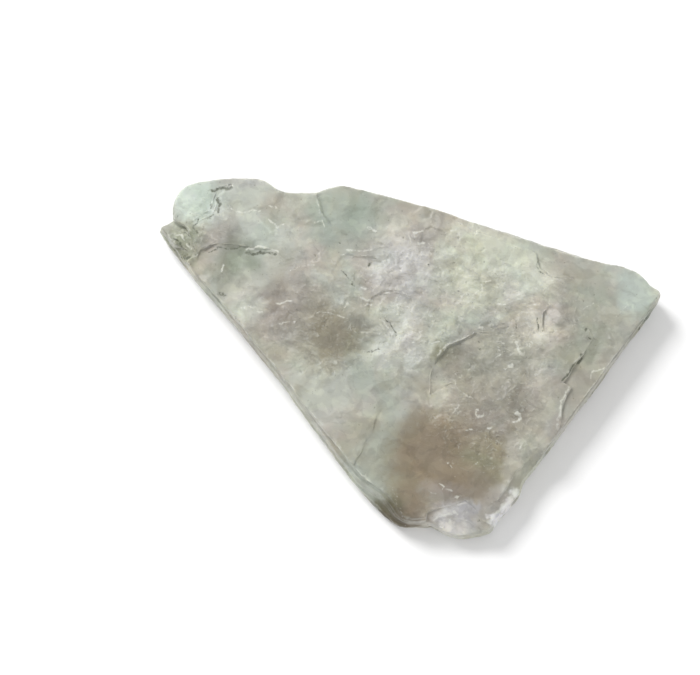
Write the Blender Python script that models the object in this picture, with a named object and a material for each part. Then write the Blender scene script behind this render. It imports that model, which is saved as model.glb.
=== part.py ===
"""A cleavage plate of gypsum: one natural stone that lies on its broad face.

Run it with blender --background --python part.py, or from Blender's text editor. Lengths
are metres, +Z is up, and +X runs along the plate. The origin is the middle of the plate's
bounding box, on the surface that it rests on.

The plate is a stack of sheets. Its walls follow three straight cleavage edges, each sheet
standing a little in or out of the next. Flakes have come off both broad faces, which leaves
terraces with torn edges. A soft relief then bends the faces, apart from the flat one below
that the stone rests on.
"""

import math
from dataclasses import dataclass

import bmesh
import bpy
from mathutils import Vector, geometry, noise

MM = 0.001

# Driving dimensions, in millimetres.
THICKNESS = 13.0
BELT = 4.0  # height of the widest line on the walls, which lean in above and below it
SHEET_WANDER = 0.35  # how far a sheet's edge wanders in and out
SHEET_WAVELENGTH = 11.0
SHEET_LIP = 0.12  # height of the slope from the edge of one sheet to the foot of the next
WALL_SPACING = 4.2  # between the points round a wall
TEAR_SPACING = 2.6  # between the points along a torn edge
CUT_MARGIN = 6.0  # how far a flake's cutter runs past the face that it is cut from
TOP_CELL = 5.4  # longest side of a triangle on the upper face and the walls
FOOT_CELL = 12.0  # and on the underside
FOOT_HEIGHT = 3.0  # what lies below this height is underside
RELIEF_START = 5.0  # the relief fades in from this height
RELIEF_FULL = 11.0  # and is full from this one up
ROUGHNESS = 0.22  # height of the small unevenness on the upper face
ROUGH_WAVELENGTH = 5.0
ROUGH_OCTAVES = 3
ROUGH_DIMENSION = 0.9  # the lower, the stronger the fine octaves
ROUGH_LACUNARITY = 2.0
SMALLEST_EDGE = 0.08  # shorter edges are merged away

# Settings of the division into triangles.
INSIDE_ONLY = 1  # the fill's code for triangles inside the outline alone
CLOSEST_POINTS = 1e-6
MERGE_ROUNDS = 4
SPLIT_ROUNDS = 8
LEVEL = 0.995  # cosine of the angle between two faces whose edge may be turned
TURN_MARGIN = 0.05  # radians


@dataclass(frozen=True)
class Sheet:
    """One sheet of the stack: the height of its top, and how far its edge stands in."""

    top: float
    stands_in: float


@dataclass(frozen=True)
class Corner:
    """A corner of the outline at its widest, with how far its upper and lower rims stand in."""

    x: float
    y: float
    crown: float
    foot: float


@dataclass(frozen=True)
class Flake:
    """A sheet that has come off: its torn outline, and the plane that it has left."""

    name: str
    outline: tuple
    level: float  # height of the new face at the outline's middle
    fall_x: float = 0.0  # rise of that face for each millimetre along X
    fall_y: float = 0.0
    tear: float = 0.6  # how far the torn edge wanders
    from_below: bool = False


@dataclass(frozen=True)
class Swell:
    """A broad rise of the upper face, or a hollow where its height is negative."""

    x: float
    y: float
    radius: float
    height: float


SHEETS = (
    Sheet(1.5, 0.4),
    Sheet(2.6, 0.0),
    Sheet(4.6, 0.45),
    Sheet(5.5, 0.05),
    Sheet(7.6, 0.55),
    Sheet(8.5, 0.2),
    Sheet(10.4, 0.0),
    Sheet(11.6, 0.5),
    Sheet(THICKNESS, 0.15),
)

# Round the plate from its left tip, clockwise as seen from above.
BROKEN_CORNER = (
    Corner(-75.6, 39.2, 1.5, 1.5),
    Corner(-73.0, 40.6, 1.2, 1.5),
    Corner(-71.1, 41.4, 0.8, 2.0),
    Corner(-71.0, 46.0, 0.4, 2.5),
    Corner(-69.3, 49.9, 0.4, 2.5),
    Corner(-66.0, 52.3, 0.5, 3.0),
    Corner(-54.4, 54.1, 0.4, 3.0),
    Corner(-44.7, 54.1, 0.4, 3.0),
    Corner(-42.0, 52.7, 0.5, 3.0),
    Corner(-39.4, 50.3, 0.6, 3.0),
    Corner(-36.0, 49.6, 0.6, 3.0),
    Corner(-28.0, 49.8, 0.6, 3.0),
    Corner(-24.5, 51.4, 0.5, 3.0),
)
FAR_EDGE = (
    Corner(-20.5, 52.3, 0.5, 3.0),
    Corner(9.6, 44.0, 0.4, 3.0),
    Corner(57.7, 27.8, 0.4, 3.0),
    Corner(62.9, 27.2, 0.5, 2.5),
    Corner(68.0, 24.9, 0.5, 2.5),
    Corner(71.0, 21.6, 0.6, 2.0),
)
RIGHT_EDGE = (
    Corner(75.0, 19.8, 1.0, 1.0),
    Corner(75.3, 17.4, 1.4, 0.8),
    Corner(70.3, 11.2, 1.2, 1.0),
    Corner(53.3, -11.8, 1.3, 1.2),
    Corner(38.8, -30.6, 1.3, 1.2),
    Corner(32.0, -39.0, 1.2, 1.0),
    Corner(23.6, -48.2, 1.2, 0.6),
)
BROKEN_TIP = (
    Corner(22.4, -51.2, 2.6, 0.6),
    Corner(20.0, -53.2, 2.4, 0.6),
    Corner(14.0, -54.1, 2.2, 0.8),
    Corner(9.6, -52.6, 2.0, 1.0),
    Corner(6.0, -50.4, 2.0, 1.2),
    Corner(-1.9, -50.6, 2.2, 1.0),
    Corner(-5.0, -49.8, 3.4, 0.8),
)
LEFT_EDGE = (
    Corner(-9.1, -45.8, 5.0, 0.6),
    Corner(-13.8, -41.0, 4.4, 0.6),
    Corner(-21.0, -31.4, 3.0, 0.8),
    Corner(-36.2, -9.9, 1.6, 1.0),
    Corner(-51.5, 9.2, 1.6, 1.0),
    Corner(-69.7, 30.3, 1.6, 1.2),
    Corner(-73.6, 35.6, 1.8, 1.4),
)
OUTLINE = BROKEN_CORNER + FAR_EDGE + RIGHT_EDGE + BROKEN_TIP + LEFT_EDGE

FLAKES = (
    Flake(
        "right_shelf",
        ((13, 55), (13, 40), (27, 34.6), (37.6, 30.4), (38.5, 26), (42, 23.6), (47, 23),
         (50.5, 21), (49.4, 17), (48.2, 10), (51, 9), (53.2, 5), (50.8, -0.5), (44.8, -8.2),
         (46.8, -10), (44, -15), (43.4, -22), (38.6, -30), (33, -36.5), (27, -43), (50, -52),
         (85, -5), (85, 30), (50, 50)),
        level=11.9, fall_x=0.012, fall_y=0.0, tear=0.5,
    ),
    Flake(
        "scar",
        ((4.8, -13), (6.2, -6), (7.9, -1.6), (10.5, 1.9), (18.7, 6.2), (27, 6), (37, 2.5),
         (43, -2), (41, -14), (37, -24), (26, -22), (17.4, -12.4), (12, -9)),
        level=12.2, fall_x=0.042, fall_y=-0.02, tear=0.45,
    ),
    Flake(
        "lower_field",
        ((-9, -16.6), (-4, -14.2), (2, -14.6), (6.4, -17.4), (9.4, -17.0), (12.3, -13.8),
         (17.0, -12.6), (22, -15.6), (27, -18), (38, -20), (50, -28), (36, -58), (2, -66),
         (-14, -60), (-18, -36), (-12, -24)),
        level=11.8, fall_x=0.0, fall_y=0.03, tear=0.45,
    ),
    Flake(
        "tip_shelf",
        ((4.5, -46.8), (9.9, -44.4), (15.5, -43.4), (18.6, -45.6), (20.2, -49), (34, -54),
         (26, -64), (2, -64)),
        level=8.3, fall_x=-0.03, fall_y=0.12, tear=0.4,
    ),
    Flake(
        "tip_chip",
        ((9.4, -49.4), (13.4, -47.8), (17.8, -49.2), (19.6, -51), (30, -58), (12, -64),
         (8, -58)),
        level=6.4, fall_x=0.02, fall_y=0.1, tear=0.3,
    ),
    Flake(
        "flake_scoop",
        ((-62.5, 31.6), (-59.3, 32.7), (-56.4, 33.6), (-52.4, 33.3), (-48.6, 32.4),
         (-44.6, 31.8), (-40.4, 31), (-35.6, 28), (-32, 22), (-36, 14), (-46, 10.6),
         (-56, 14), (-64, 25)),
        level=12.5, fall_x=0.01, fall_y=-0.07, tear=0.35,
    ),
    Flake(
        "mid_chip",
        ((-22.4, 26.4), (-21.2, 29.0), (-18.4, 30.2), (-14.4, 29.4), (-10.8, 29.3),
         (-8.0, 27.0), (-7.0, 23.6), (-14.0, 21.0), (-21.0, 22.4)),
        level=12.9, fall_x=-0.01, fall_y=-0.08, tear=0.3,
    ),
    Flake(
        "centre_chip",
        ((-13.0, 14.0), (-11.4, 17.2), (-7.6, 18.9), (-3.0, 18.4), (0.6, 15.8), (2.0, 12.2),
         (-4.0, 8.0), (-11.6, 9.6)),
        level=12.85, fall_x=0.03, fall_y=-0.07, tear=0.3,
    ),
    Flake(
        "column_chip",
        ((41.0, 14.8), (38.8, 12.4), (38.4, 8.6), (39.6, 5.4), (42.6, 4.0), (47.0, 7.0),
         (46.6, 12.0)),
        level=12.6, fall_x=0.1, tear=0.25,
    ),
    Flake(
        "far_chip",
        ((2.8, 33.4), (3.4, 37.6), (6.2, 38.9), (9.4, 37.2), (13.0, 38.8), (16.6, 37.6),
         (18.0, 33.0), (12.0, 28.0), (5.0, 29.4)),
        level=12.75, fall_x=0.015, fall_y=-0.06, tear=0.35,
    ),
    Flake(
        "teal_shelf",
        ((-28.2, 58), (-27.6, 48), (-26.2, 42), (-23.6, 38.6), (-16, 37), (-7, 38), (3, 44),
         (8, 52), (-10, 62)),
        level=12.45, fall_x=0.016, fall_y=-0.012, tear=0.4,
    ),
    Flake(
        "nub_shelf",
        ((-80, 46), (-73, 42.6), (-69.6, 40), (-66.4, 38.4), (-64.6, 35), (-63.4, 32),
         (-64.6, 29.4), (-68, 26), (-80, 26)),
        level=10.2, fall_x=0.09, fall_y=0.02, tear=0.4,
    ),
    Flake(
        "nub_notch",
        ((-80, 34.5), (-70.2, 33.6), (-67.4, 32.4), (-65.6, 31.4), (-66.6, 30.4), (-69, 30.6),
         (-80, 31)),
        level=7.6, fall_x=0.12, tear=0.2,
    ),
    Flake(
        "lump_crack",
        ((-53.2, 51.9), (-57.2, 50.9), (-58.6, 48.0), (-59.2, 44.9), (-60.3, 43.1),
         (-62.8, 42.1), (-65.2, 39.8), (-64.3, 39.0), (-62.2, 40.8), (-59.3, 41.7),
         (-58.0, 44.2), (-57.4, 47.2), (-56.2, 49.6), (-53.4, 50.9)),
        level=11.9, tear=0.2,
    ),
    Flake(
        "right_bevel",
        ((20.6, -46.2), (25.4, -40.8), (30.8, -34.4), (36.4, -28.0), (46.4, -37.0),
         (31.2, -54.7)),
        level=6.3, fall_x=-0.53, fall_y=0.46, tear=0.25,
    ),
    Flake(
        "underside_right",
        ((74, 36), (46, 20), (34, -2), (24, -22), (16, -40), (18, -64), (60, -44), (90, 10)),
        level=1.5, fall_x=0.01, tear=0.8, from_below=True,
    ),
    Flake(
        "underside_far",
        ((-90, 60), (-84, 28), (-60, 30), (-44, 37), (-20, 36), (6, 33), (34, 22), (60, 16),
         (90, 26), (40, 62)),
        level=2.2, fall_y=0.03, tear=0.8, from_below=True,
    ),
    Flake(
        "underside_left",
        ((-84, 44), (-62, 29), (-46, 12), (-30, -8), (-19, -24), (-6, -42), (-22, -60),
         (-90, 10)),
        level=1.1, fall_x=-0.01, tear=0.9, from_below=True,
    ),
)

SWELLS = (
    Swell(-63.5, 45.5, 9.0, 0.7),
    Swell(-46.0, 43.0, 13.0, -0.5),
    Swell(-28.0, 38.0, 12.0, 0.35),
    Swell(-12.0, 42.0, 12.0, -0.45),
    Swell(-38.0, 6.0, 14.0, 0.3),
    Swell(-24.0, 24.0, 15.0, 0.45),
    Swell(-14.0, 4.0, 13.0, -0.55),
    Swell(4.0, 24.0, 14.0, 0.4),
    Swell(24.0, 18.0, 14.0, 0.45),
    Swell(0.0, -6.0, 9.0, 0.4),
    Swell(22.0, -8.0, 12.0, -0.35),
    Swell(-18.0, -18.0, 12.0, 0.35),
    Swell(2.0, -32.0, 12.0, -0.4),
    Swell(58.0, 12.0, 14.0, -0.3),
)


def clear_objects():
    """Removes the objects that the scene starts with."""
    for obj in list(bpy.data.objects):
        bpy.data.objects.remove(obj)


def wall_points():
    """Points round the outline as (place, crown, foot), evenly spaced between its corners."""
    points = []
    for here, there in zip(OUTLINE, OUTLINE[1:] + OUTLINE[:1]):
        length = math.hypot(there.x - here.x, there.y - here.y)
        steps = max(1, round(length / WALL_SPACING))
        for step in range(steps):
            share = step / steps
            place = Vector((here.x, here.y)).lerp(Vector((there.x, there.y)), share)
            crown = here.crown + (there.crown - here.crown) * share
            foot = here.foot + (there.foot - here.foot) * share
            points.append((place, crown, foot))
    return points


def inward_normals(places):
    """For each point of a clockwise loop, the direction into the plate, eased over its neighbours."""
    count = len(places)
    normals = []
    for i in range(count):
        along = places[(i + 1) % count] - places[i - 1]
        normals.append(Vector((along.y, -along.x)).normalized())
    return [
        (normals[i - 1] + 2 * normals[i] + normals[(i + 1) % count]).normalized()
        for i in range(count)
    ]


def wall_inset(height, crown, foot):
    """How far the wall stands in from the outline at a height."""
    if height < BELT:
        return foot * (1 - height / BELT)
    return crown * (height - BELT) / (THICKNESS - BELT)


def build_slab():
    """The whole stack of sheets before any flake has come off, as a closed mesh."""
    points = wall_points()
    normals = inward_normals([place for place, _, _ in points])
    bm = bmesh.new()
    rings = []
    bottom = 0.0
    for layer, sheet in enumerate(SHEETS):
        foot_height = bottom + SHEET_LIP if layer else bottom
        for height in (foot_height, sheet.top):
            ring = []
            for (place, crown, foot), normal in zip(points, normals):
                wander = SHEET_WANDER * noise.noise(
                    (place.x / SHEET_WAVELENGTH, place.y / SHEET_WAVELENGTH, layer * 3.7)
                )
                inset = wall_inset(height, crown, foot) + max(0.0, sheet.stands_in + wander)
                x, y = place + normal * inset
                ring.append(bm.verts.new((x * MM, y * MM, height * MM)))
            rings.append(ring)
        bottom = sheet.top
    for lower, upper in zip(rings, rings[1:]):
        for i in range(len(lower)):
            j = (i + 1) % len(lower)
            bm.faces.new((lower[i], upper[i], upper[j], lower[j]))
    bm.faces.new(rings[0])
    bm.faces.new(reversed(rings[-1]))
    bmesh.ops.recalc_face_normals(bm, faces=bm.faces)
    return finished_mesh(bm, "slab")


def torn(outline, tear, seed):
    """The outline with points added along its sides, each moved a little across the side."""
    places = [Vector(point) for point in outline]
    edge = []
    for here, there in zip(places, places[1:] + places[:1]):
        along = there - here
        across = Vector((along.y, -along.x)).normalized()
        steps = max(1, round(along.length / TEAR_SPACING))
        for step in range(steps):
            place = here.lerp(there, step / steps)
            wander = noise.noise((place.x * 0.4, place.y * 0.4, seed * 5.3))
            edge.append(place + across * (tear * 2 * wander))
    return edge


def build_cutter(flake, seed):
    """A flake's cutter: a prism on the torn outline, with the face that it leaves at one end."""
    edge = torn(flake.outline, flake.tear, seed)
    middle = sum(edge, Vector((0.0, 0.0))) / len(edge)
    bm = bmesh.new()
    face_ring = []
    for place in edge:
        away = place - middle
        height = flake.level + flake.fall_x * away.x + flake.fall_y * away.y
        face_ring.append(bm.verts.new((place.x * MM, place.y * MM, height * MM)))
    far = -CUT_MARGIN if flake.from_below else THICKNESS + CUT_MARGIN
    far_ring = [bm.verts.new((v.co.x, v.co.y, far * MM)) for v in face_ring]
    for i in range(len(edge)):
        j = (i + 1) % len(edge)
        bm.faces.new((face_ring[i], face_ring[j], far_ring[j], far_ring[i]))
    bm.faces.new(face_ring)
    bm.faces.new(reversed(far_ring))
    bmesh.ops.recalc_face_normals(bm, faces=bm.faces)
    cutter = bpy.data.objects.new("cutter_" + flake.name, finished_mesh(bm, flake.name))
    cutter.hide_render = True
    cutter.display_type = "WIRE"
    bpy.context.scene.collection.objects.link(cutter)
    return cutter


def finished_mesh(bm, name):
    """The bmesh as a new mesh."""
    mesh = bpy.data.meshes.new(name)
    bm.to_mesh(mesh)
    bm.free()
    return mesh


def strike_off_flakes(stone):
    """Cuts every flake from the stone with an exact Boolean, and removes the cutters."""
    cutters = [build_cutter(flake, seed) for seed, flake in enumerate(FLAKES, start=1)]
    for cutter in cutters:
        cut = stone.modifiers.new(cutter.name, "BOOLEAN")
        cut.operation = "DIFFERENCE"
        cut.solver = "EXACT"
        cut.object = cutter
    bpy.context.view_layer.update()
    depsgraph = bpy.context.evaluated_depsgraph_get()
    cut_mesh = bpy.data.meshes.new_from_object(stone.evaluated_get(depsgraph))
    stone.modifiers.clear()
    stone.data = cut_mesh
    for cutter in cutters:
        bpy.data.objects.remove(cutter)


def triangulate(bm):
    """Divides every face into triangles, none of them thinner than it has to be."""
    for face in [f for f in bm.faces if len(f.verts) > 3]:
        corners = list(face.verts)
        flat = face.normal.to_track_quat("Z", "Y").inverted()
        places = [(flat @ (v.co / MM)).to_2d() for v in corners]
        _, _, triangles, sources, _, _ = geometry.delaunay_2d_cdt(
            places, [], [range(len(corners))], INSIDE_ONLY, CLOSEST_POINTS
        )
        bm.faces.remove(face)
        for triangle in triangles:
            around = [corners[sources[i][0]] for i in triangle]
            back = bm.faces.get(around)
            if back:
                # A sliver that lies back to back with another goes, and so does the other.
                bm.faces.remove(back)
            else:
                bm.faces.new(around)
    bmesh.ops.delete(bm, geom=[e for e in bm.edges if not e.link_faces], context="EDGES")
    bm.normal_update()


def merge_short_edges(bm):
    """Merges the ends of each very short edge, where the surface stays closed."""
    for _ in range(MERGE_ROUNDS):
        short = [e for e in bm.edges if e.calc_length() < SMALLEST_EDGE * MM]
        for edge in short:
            if not edge.is_valid:
                continue
            one, other = edge.verts
            near_one = {e.other_vert(one) for e in one.link_edges}
            near_other = {e.other_vert(other) for e in other.link_edges}
            if len(near_one & near_other) == 2:
                bmesh.ops.pointmerge(bm, verts=(one, other), merge_co=(one.co + other.co) / 2)


def split_in_triangles(bm, edge):
    """Puts a point on the middle of an edge and joins it to the corner across each face."""
    across = [
        next(v for v in face.verts if v not in edge.verts) for face in edge.link_faces
    ]
    _, middle = bmesh.utils.edge_split(edge, edge.verts[0], 0.5)
    for corner in across:
        face = next(f for f in middle.link_faces if corner in f.verts)
        bmesh.utils.face_split(face, middle, corner)


def flip_if_better(bm, edge):
    """Turns the edge between two level triangles where that makes them less thin."""
    first, second = edge.link_faces
    if first.normal.dot(second.normal) < LEVEL:
        return
    a, b = edge.verts
    c = next(v for v in first.verts if v not in edge.verts)
    d = next(v for v in second.verts if v not in edge.verts)
    if bm.edges.get((c, d)):
        return
    angle_c = (a.co - c.co).angle(b.co - c.co)
    angle_d = (a.co - d.co).angle(b.co - d.co)
    if angle_c + angle_d <= math.pi + TURN_MARGIN:
        return
    for corner, other in ((a, b), (b, a)):
        turn = (c.co - corner.co).angle(other.co - corner.co)
        turn += (d.co - corner.co).angle(other.co - corner.co)
        if turn > math.pi - TURN_MARGIN:
            return
    turned = bmesh.utils.edge_rotate(edge, True)
    if turned:
        for face in turned.link_faces:
            face.normal_update()


def refine(bm):
    """Splits long edges until the faces are fine enough to bend."""
    triangulate(bm)
    merge_short_edges(bm)
    for _ in range(SPLIT_ROUNDS):
        bm.normal_update()
        for edge in list(bm.edges):
            flip_if_better(bm, edge)
        long_edges = []
        for edge in bm.edges:
            middle = (edge.verts[0].co + edge.verts[1].co) / 2
            cell = FOOT_CELL if middle.z < FOOT_HEIGHT * MM else TOP_CELL
            if edge.calc_length() > cell * MM:
                long_edges.append(edge)
        if not long_edges:
            break
        for edge in sorted(long_edges, key=lambda e: -e.calc_length()):
            split_in_triangles(bm, edge)


def relief_at(x, y):
    """Height that the relief adds to the upper face, in millimetres."""
    place = (x / ROUGH_WAVELENGTH, y / ROUGH_WAVELENGTH, 0.0)
    height = ROUGHNESS * noise.fractal(
        place, ROUGH_DIMENSION, ROUGH_LACUNARITY, ROUGH_OCTAVES
    )
    for swell in SWELLS:
        reach = math.hypot(x - swell.x, y - swell.y) / swell.radius
        if reach < 1:
            height += swell.height * (1 - reach * reach) ** 2
    return height


def bend_faces(bm):
    """Adds the relief to what stands above the lower sheets."""
    for vert in bm.verts:
        x, y, z = vert.co / MM
        share = (z - RELIEF_START) / (RELIEF_FULL - RELIEF_START)
        share = min(1.0, max(0.0, share))
        vert.co.z += relief_at(x, y) * share * MM


def stand_on_origin(mesh):
    """Moves the mesh so that its box is centred on the origin and stands on it."""
    low = Vector(min(v.co[axis] for v in mesh.vertices) for axis in range(3))
    high = Vector(max(v.co[axis] for v in mesh.vertices) for axis in range(3))
    shift = -(low + high) / 2
    shift.z = -low.z
    for vert in mesh.vertices:
        vert.co += shift


def gypsum_material():
    """Milky grey-green gypsum with a soft shine."""
    material = bpy.data.materials.new("gypsum")
    material.use_nodes = True
    shader = material.node_tree.nodes["Principled BSDF"]
    shader.inputs["Base Color"].default_value = (0.48, 0.49, 0.43, 1.0)
    shader.inputs["Roughness"].default_value = 0.38
    shader.inputs["IOR"].default_value = 1.52
    shader.inputs["Metallic"].default_value = 0.0
    return material


def build_stone():
    """The whole stone as one object."""
    stone = bpy.data.objects.new("gypsum_plate", build_slab())
    bpy.context.scene.collection.objects.link(stone)
    strike_off_flakes(stone)
    bm = bmesh.new()
    bm.from_mesh(stone.data)
    refine(bm)
    bend_faces(bm)
    stone.data = finished_mesh(bm, "gypsum_plate")
    stand_on_origin(stone.data)
    stone.data.materials.append(gypsum_material())
    return stone


clear_objects()
build_stone()
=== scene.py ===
"""The looks of a gypsum cleavage plate: milky, flaked selenite lying on its broad face.

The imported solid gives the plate's shape. A finer skin is made from a copy of it, with torn sheets,
flake scars, cracks and laminated walls, and dressed in a milky stone that lets some light through.
Lengths are in millimetres, apart from the studio's, and angles are in degrees.
"""

from __future__ import annotations

import logging
import math
from dataclasses import dataclass
from enum import Enum

import bpy
import numpy as np
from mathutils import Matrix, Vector

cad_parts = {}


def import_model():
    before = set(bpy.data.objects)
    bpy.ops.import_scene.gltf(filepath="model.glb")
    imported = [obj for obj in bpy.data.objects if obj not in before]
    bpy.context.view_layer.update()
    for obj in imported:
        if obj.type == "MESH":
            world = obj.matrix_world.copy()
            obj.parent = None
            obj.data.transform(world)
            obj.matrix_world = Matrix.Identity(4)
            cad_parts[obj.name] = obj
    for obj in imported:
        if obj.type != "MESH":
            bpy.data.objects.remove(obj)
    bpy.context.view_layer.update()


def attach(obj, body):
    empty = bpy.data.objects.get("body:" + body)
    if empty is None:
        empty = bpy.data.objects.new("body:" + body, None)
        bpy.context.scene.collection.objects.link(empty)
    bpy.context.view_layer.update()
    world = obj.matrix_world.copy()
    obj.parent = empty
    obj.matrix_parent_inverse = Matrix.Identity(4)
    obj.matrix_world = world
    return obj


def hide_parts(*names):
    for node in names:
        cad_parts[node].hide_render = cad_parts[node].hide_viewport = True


MM = 0.001
TOP = 13.74
LOG = logging.getLogger("gypsum")

Colour = tuple[float, float, float]
Place = tuple[float, float]
Triple = tuple[float, float, float]
Limits = tuple[float, float]
Bound = float | np.ndarray
Socket = bpy.types.NodeSocket


class Reach(Enum):
    """The parts of the skin that a step works on, as names of vertex groups."""

    UPPER_FACE = "upper_face"
    WALLS = "walls"
    FADED = "faded"
    CORNERS = "corners"


class Stroke(Enum):
    """The kinds of line on the upper face, each with how far it moves the stone up."""

    CRACK = -0.045
    RIM = 0.03


@dataclass(frozen=True)
class Spot:
    """A round part of the upper face in which something holds more or less."""

    centre: Place
    radius: float
    strength: float = 1.0


@dataclass(frozen=True)
class Mark:
    """A dark line, such as a split in the stone or a painted shadow under a ledge, or a pale rim,
    drawn through a few places.
    """

    name: str
    width: float
    strength: float
    path: tuple[Place, ...]


@dataclass(frozen=True)
class Sheets:
    """Torn cleavage sheets: a rolling pattern that is cut into flat steps."""

    size: Place
    turn: float
    steps: float
    step_height: float
    seed: int
    layers: int = 3
    edge: float = 0.05
    ragged: float = 0.4
    ragged_cell: Place = (1.1, 0.8)
    fading_cell: float = 6.0
    fading: Limits = (0.4, 0.62)
    soft_edge: float = 0.4


@dataclass(frozen=True)
class Waves:
    """A soft pattern that pushes the skin about, stretched along one direction."""

    name: str
    reach: Reach
    upright: bool
    height: float
    size: Triple
    turn: float = 0.0
    detail: int = 2


@dataclass(frozen=True)
class Tint:
    """A soft patch of colour inside the stone."""

    name: str
    centre: Place
    radius: float
    colour: Colour
    strength: float = 0.8


@dataclass(frozen=True)
class Mottle:
    """Ragged patches in which the stone's colour is multiplied by a factor."""

    name: str
    factor: Colour
    scale: float
    limits: Limits
    shift: float


@dataclass(frozen=True)
class ThinSheets:
    """A layer of sheets in the shader: its direction, its scale along each axis and its steps."""

    turn: float
    scale: Triple
    steps: float


@dataclass(frozen=True)
class Wisps:
    """A layer of thin curved wisps, which run along one direction."""

    turn: float
    scale: float
    width: float


# Dark cracks, notches and specks, with painted shadows under the ledges and in pits.
CRACKS_AND_LEDGE_SHADOWS = (
    Mark("lump_crack_top", 0.45, 1.0, ((-58.6, 49.5), (-56.0, 50.1), (-53.3, 50.7))),
    Mark("lump_crack_middle", 0.35, 0.9, ((-57.4, 47.3), (-56.5, 45.1), (-57.0, 42.6))),
    Mark("lump_crack_inner", 0.25, 0.7, ((-59.2, 46.0), (-59.4, 43.9))),
    Mark("lump_crack_foot", 0.45, 0.7, ((-58.2, 41.7), (-59.7, 40.8))),
    Mark("lump_crack_low", 0.35, 0.6, ((-63.0, 40.8), (-64.1, 38.0), (-62.6, 36.5))),
    Mark("lump_speck", 0.35, 0.8, ((-69.5, 41.7), (-68.6, 41.4))),
    Mark("nub_notch", 0.5, 1.0, ((-69.3, 30.0), (-67.5, 29.4), (-65.5, 29.7))),
    Mark("nub_fold", 0.35, 0.9, ((-70.3, 35.6), (-68.8, 34.0), (-68.2, 32.2))),
    Mark("nub_crumb_one", 0.35, 0.9, ((-67.0, 37.0), (-65.5, 36.0))),
    Mark("nub_crumb_two", 0.35, 0.9, ((-71.4, 34.0), (-70.2, 33.0))),
    Mark("nub_foot", 0.3, 0.5, ((-65.5, 33.4), (-62.8, 30.6), (-63.4, 29.4))),
    Mark(
        "flake_edge_near", 0.3, 0.75,
        ((-59.5, 30.6), (-56.6, 32.2), (-53.9, 31.7), (-50.4, 32.0)),
    ),
    Mark("flake_edge_far", 0.4, 1.0, ((-48.6, 30.6), (-46.2, 30.5), (-43.8, 30.8), (-40.0, 30.0))),
    Mark("sheet_gap", 0.2, 0.5, ((-18.0, 28.8), (-14.4, 29.4))),
    Mark("pit_far", 0.45, 1.0, ((-11.8, 27.0), (-11.6, 26.4))),
    Mark("slanting_gap", 0.25, 0.7, ((-20.4, 24.8), (-18.0, 21.8), (-16.2, 20.6))),
    Mark("left_speck", 0.5, 0.8, ((-56.4, 17.8), (-54.6, 17.2))),
    Mark("centre_line", 0.2, 0.6, ((-10.0, 17.8), (-2.9, 17.9))),
    Mark("left_edge_nick", 0.45, 0.8, ((-53.7, 12.7), (-51.9, 10.9))),
    Mark("left_edge_pit", 0.45, 1.0, ((-50.7, 8.8), (-49.8, 7.7))),
    Mark("s_curve", 0.25, 0.8, ((-7.7, 10.0), (-6.1, 9.2), (-4.2, 5.5))),
    Mark("field_speck_one", 0.3, 0.9, ((5.6, 26.3), (5.9, 26.0))),
    Mark("field_speck_two", 0.3, 0.8, ((-20.7, 33.6), (-20.3, 33.3))),
    Mark("field_speck_three", 0.28, 0.8, ((14.2, 18.6), (14.6, 18.4))),
    Mark("scar_speck_one", 0.28, 0.9, ((19.8, 3.6), (20.0, 3.3))),
    Mark("scar_speck_two", 0.28, 0.8, ((20.4, 1.6), (20.5, 1.3))),
    Mark("low_mark", 0.4, 0.6, ((-12.7, 0.1), (-9.5, 1.3))),
    Mark(
        "curved_ledge", 0.2, 0.6,
        ((37.8, 28.5), (38.0, 25.8), (39.4, 23.9), (42.7, 23.1), (45.9, 23.1)),
    ),
    Mark("upright_one", 0.25, 0.8, ((37.7, 10.6), (37.9, 6.7))),
    Mark("upright_two", 0.25, 0.6, ((40.6, 15.1), (40.5, 12.7))),
    Mark("upright_three", 0.25, 0.5, ((31.2, 10.0), (31.1, 7.0))),
    Mark("strip_speck_one", 0.35, 0.9, ((51.5, 7.3), (51.7, 7.0))),
    Mark("strip_speck_two", 0.35, 0.9, ((52.6, 4.6), (52.8, 4.4))),
    Mark("strip_speck_three", 0.3, 0.8, ((54.0, 4.6), (54.2, 4.3))),
    Mark("strip_speck_four", 0.3, 0.8, ((54.4, 17.8), (54.7, 17.7))),
    Mark("strong_ledge", 0.4, 1.0, ((50.8, -0.1), (48.0, -3.5), (44.0, -8.2))),
    Mark("window_hook", 0.2, 0.7, ((10.9, -33.2), (11.8, -33.6), (11.7, -34.6))),
    Mark("lobe_speck", 0.45, 0.9, ((19.5, -48.6), (19.9, -49.1))),
    Mark("tip_dark_rim", 0.45, 0.6, ((73.0, 16.9), (71.1, 13.3), (68.3, 9.1))),
)
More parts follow.
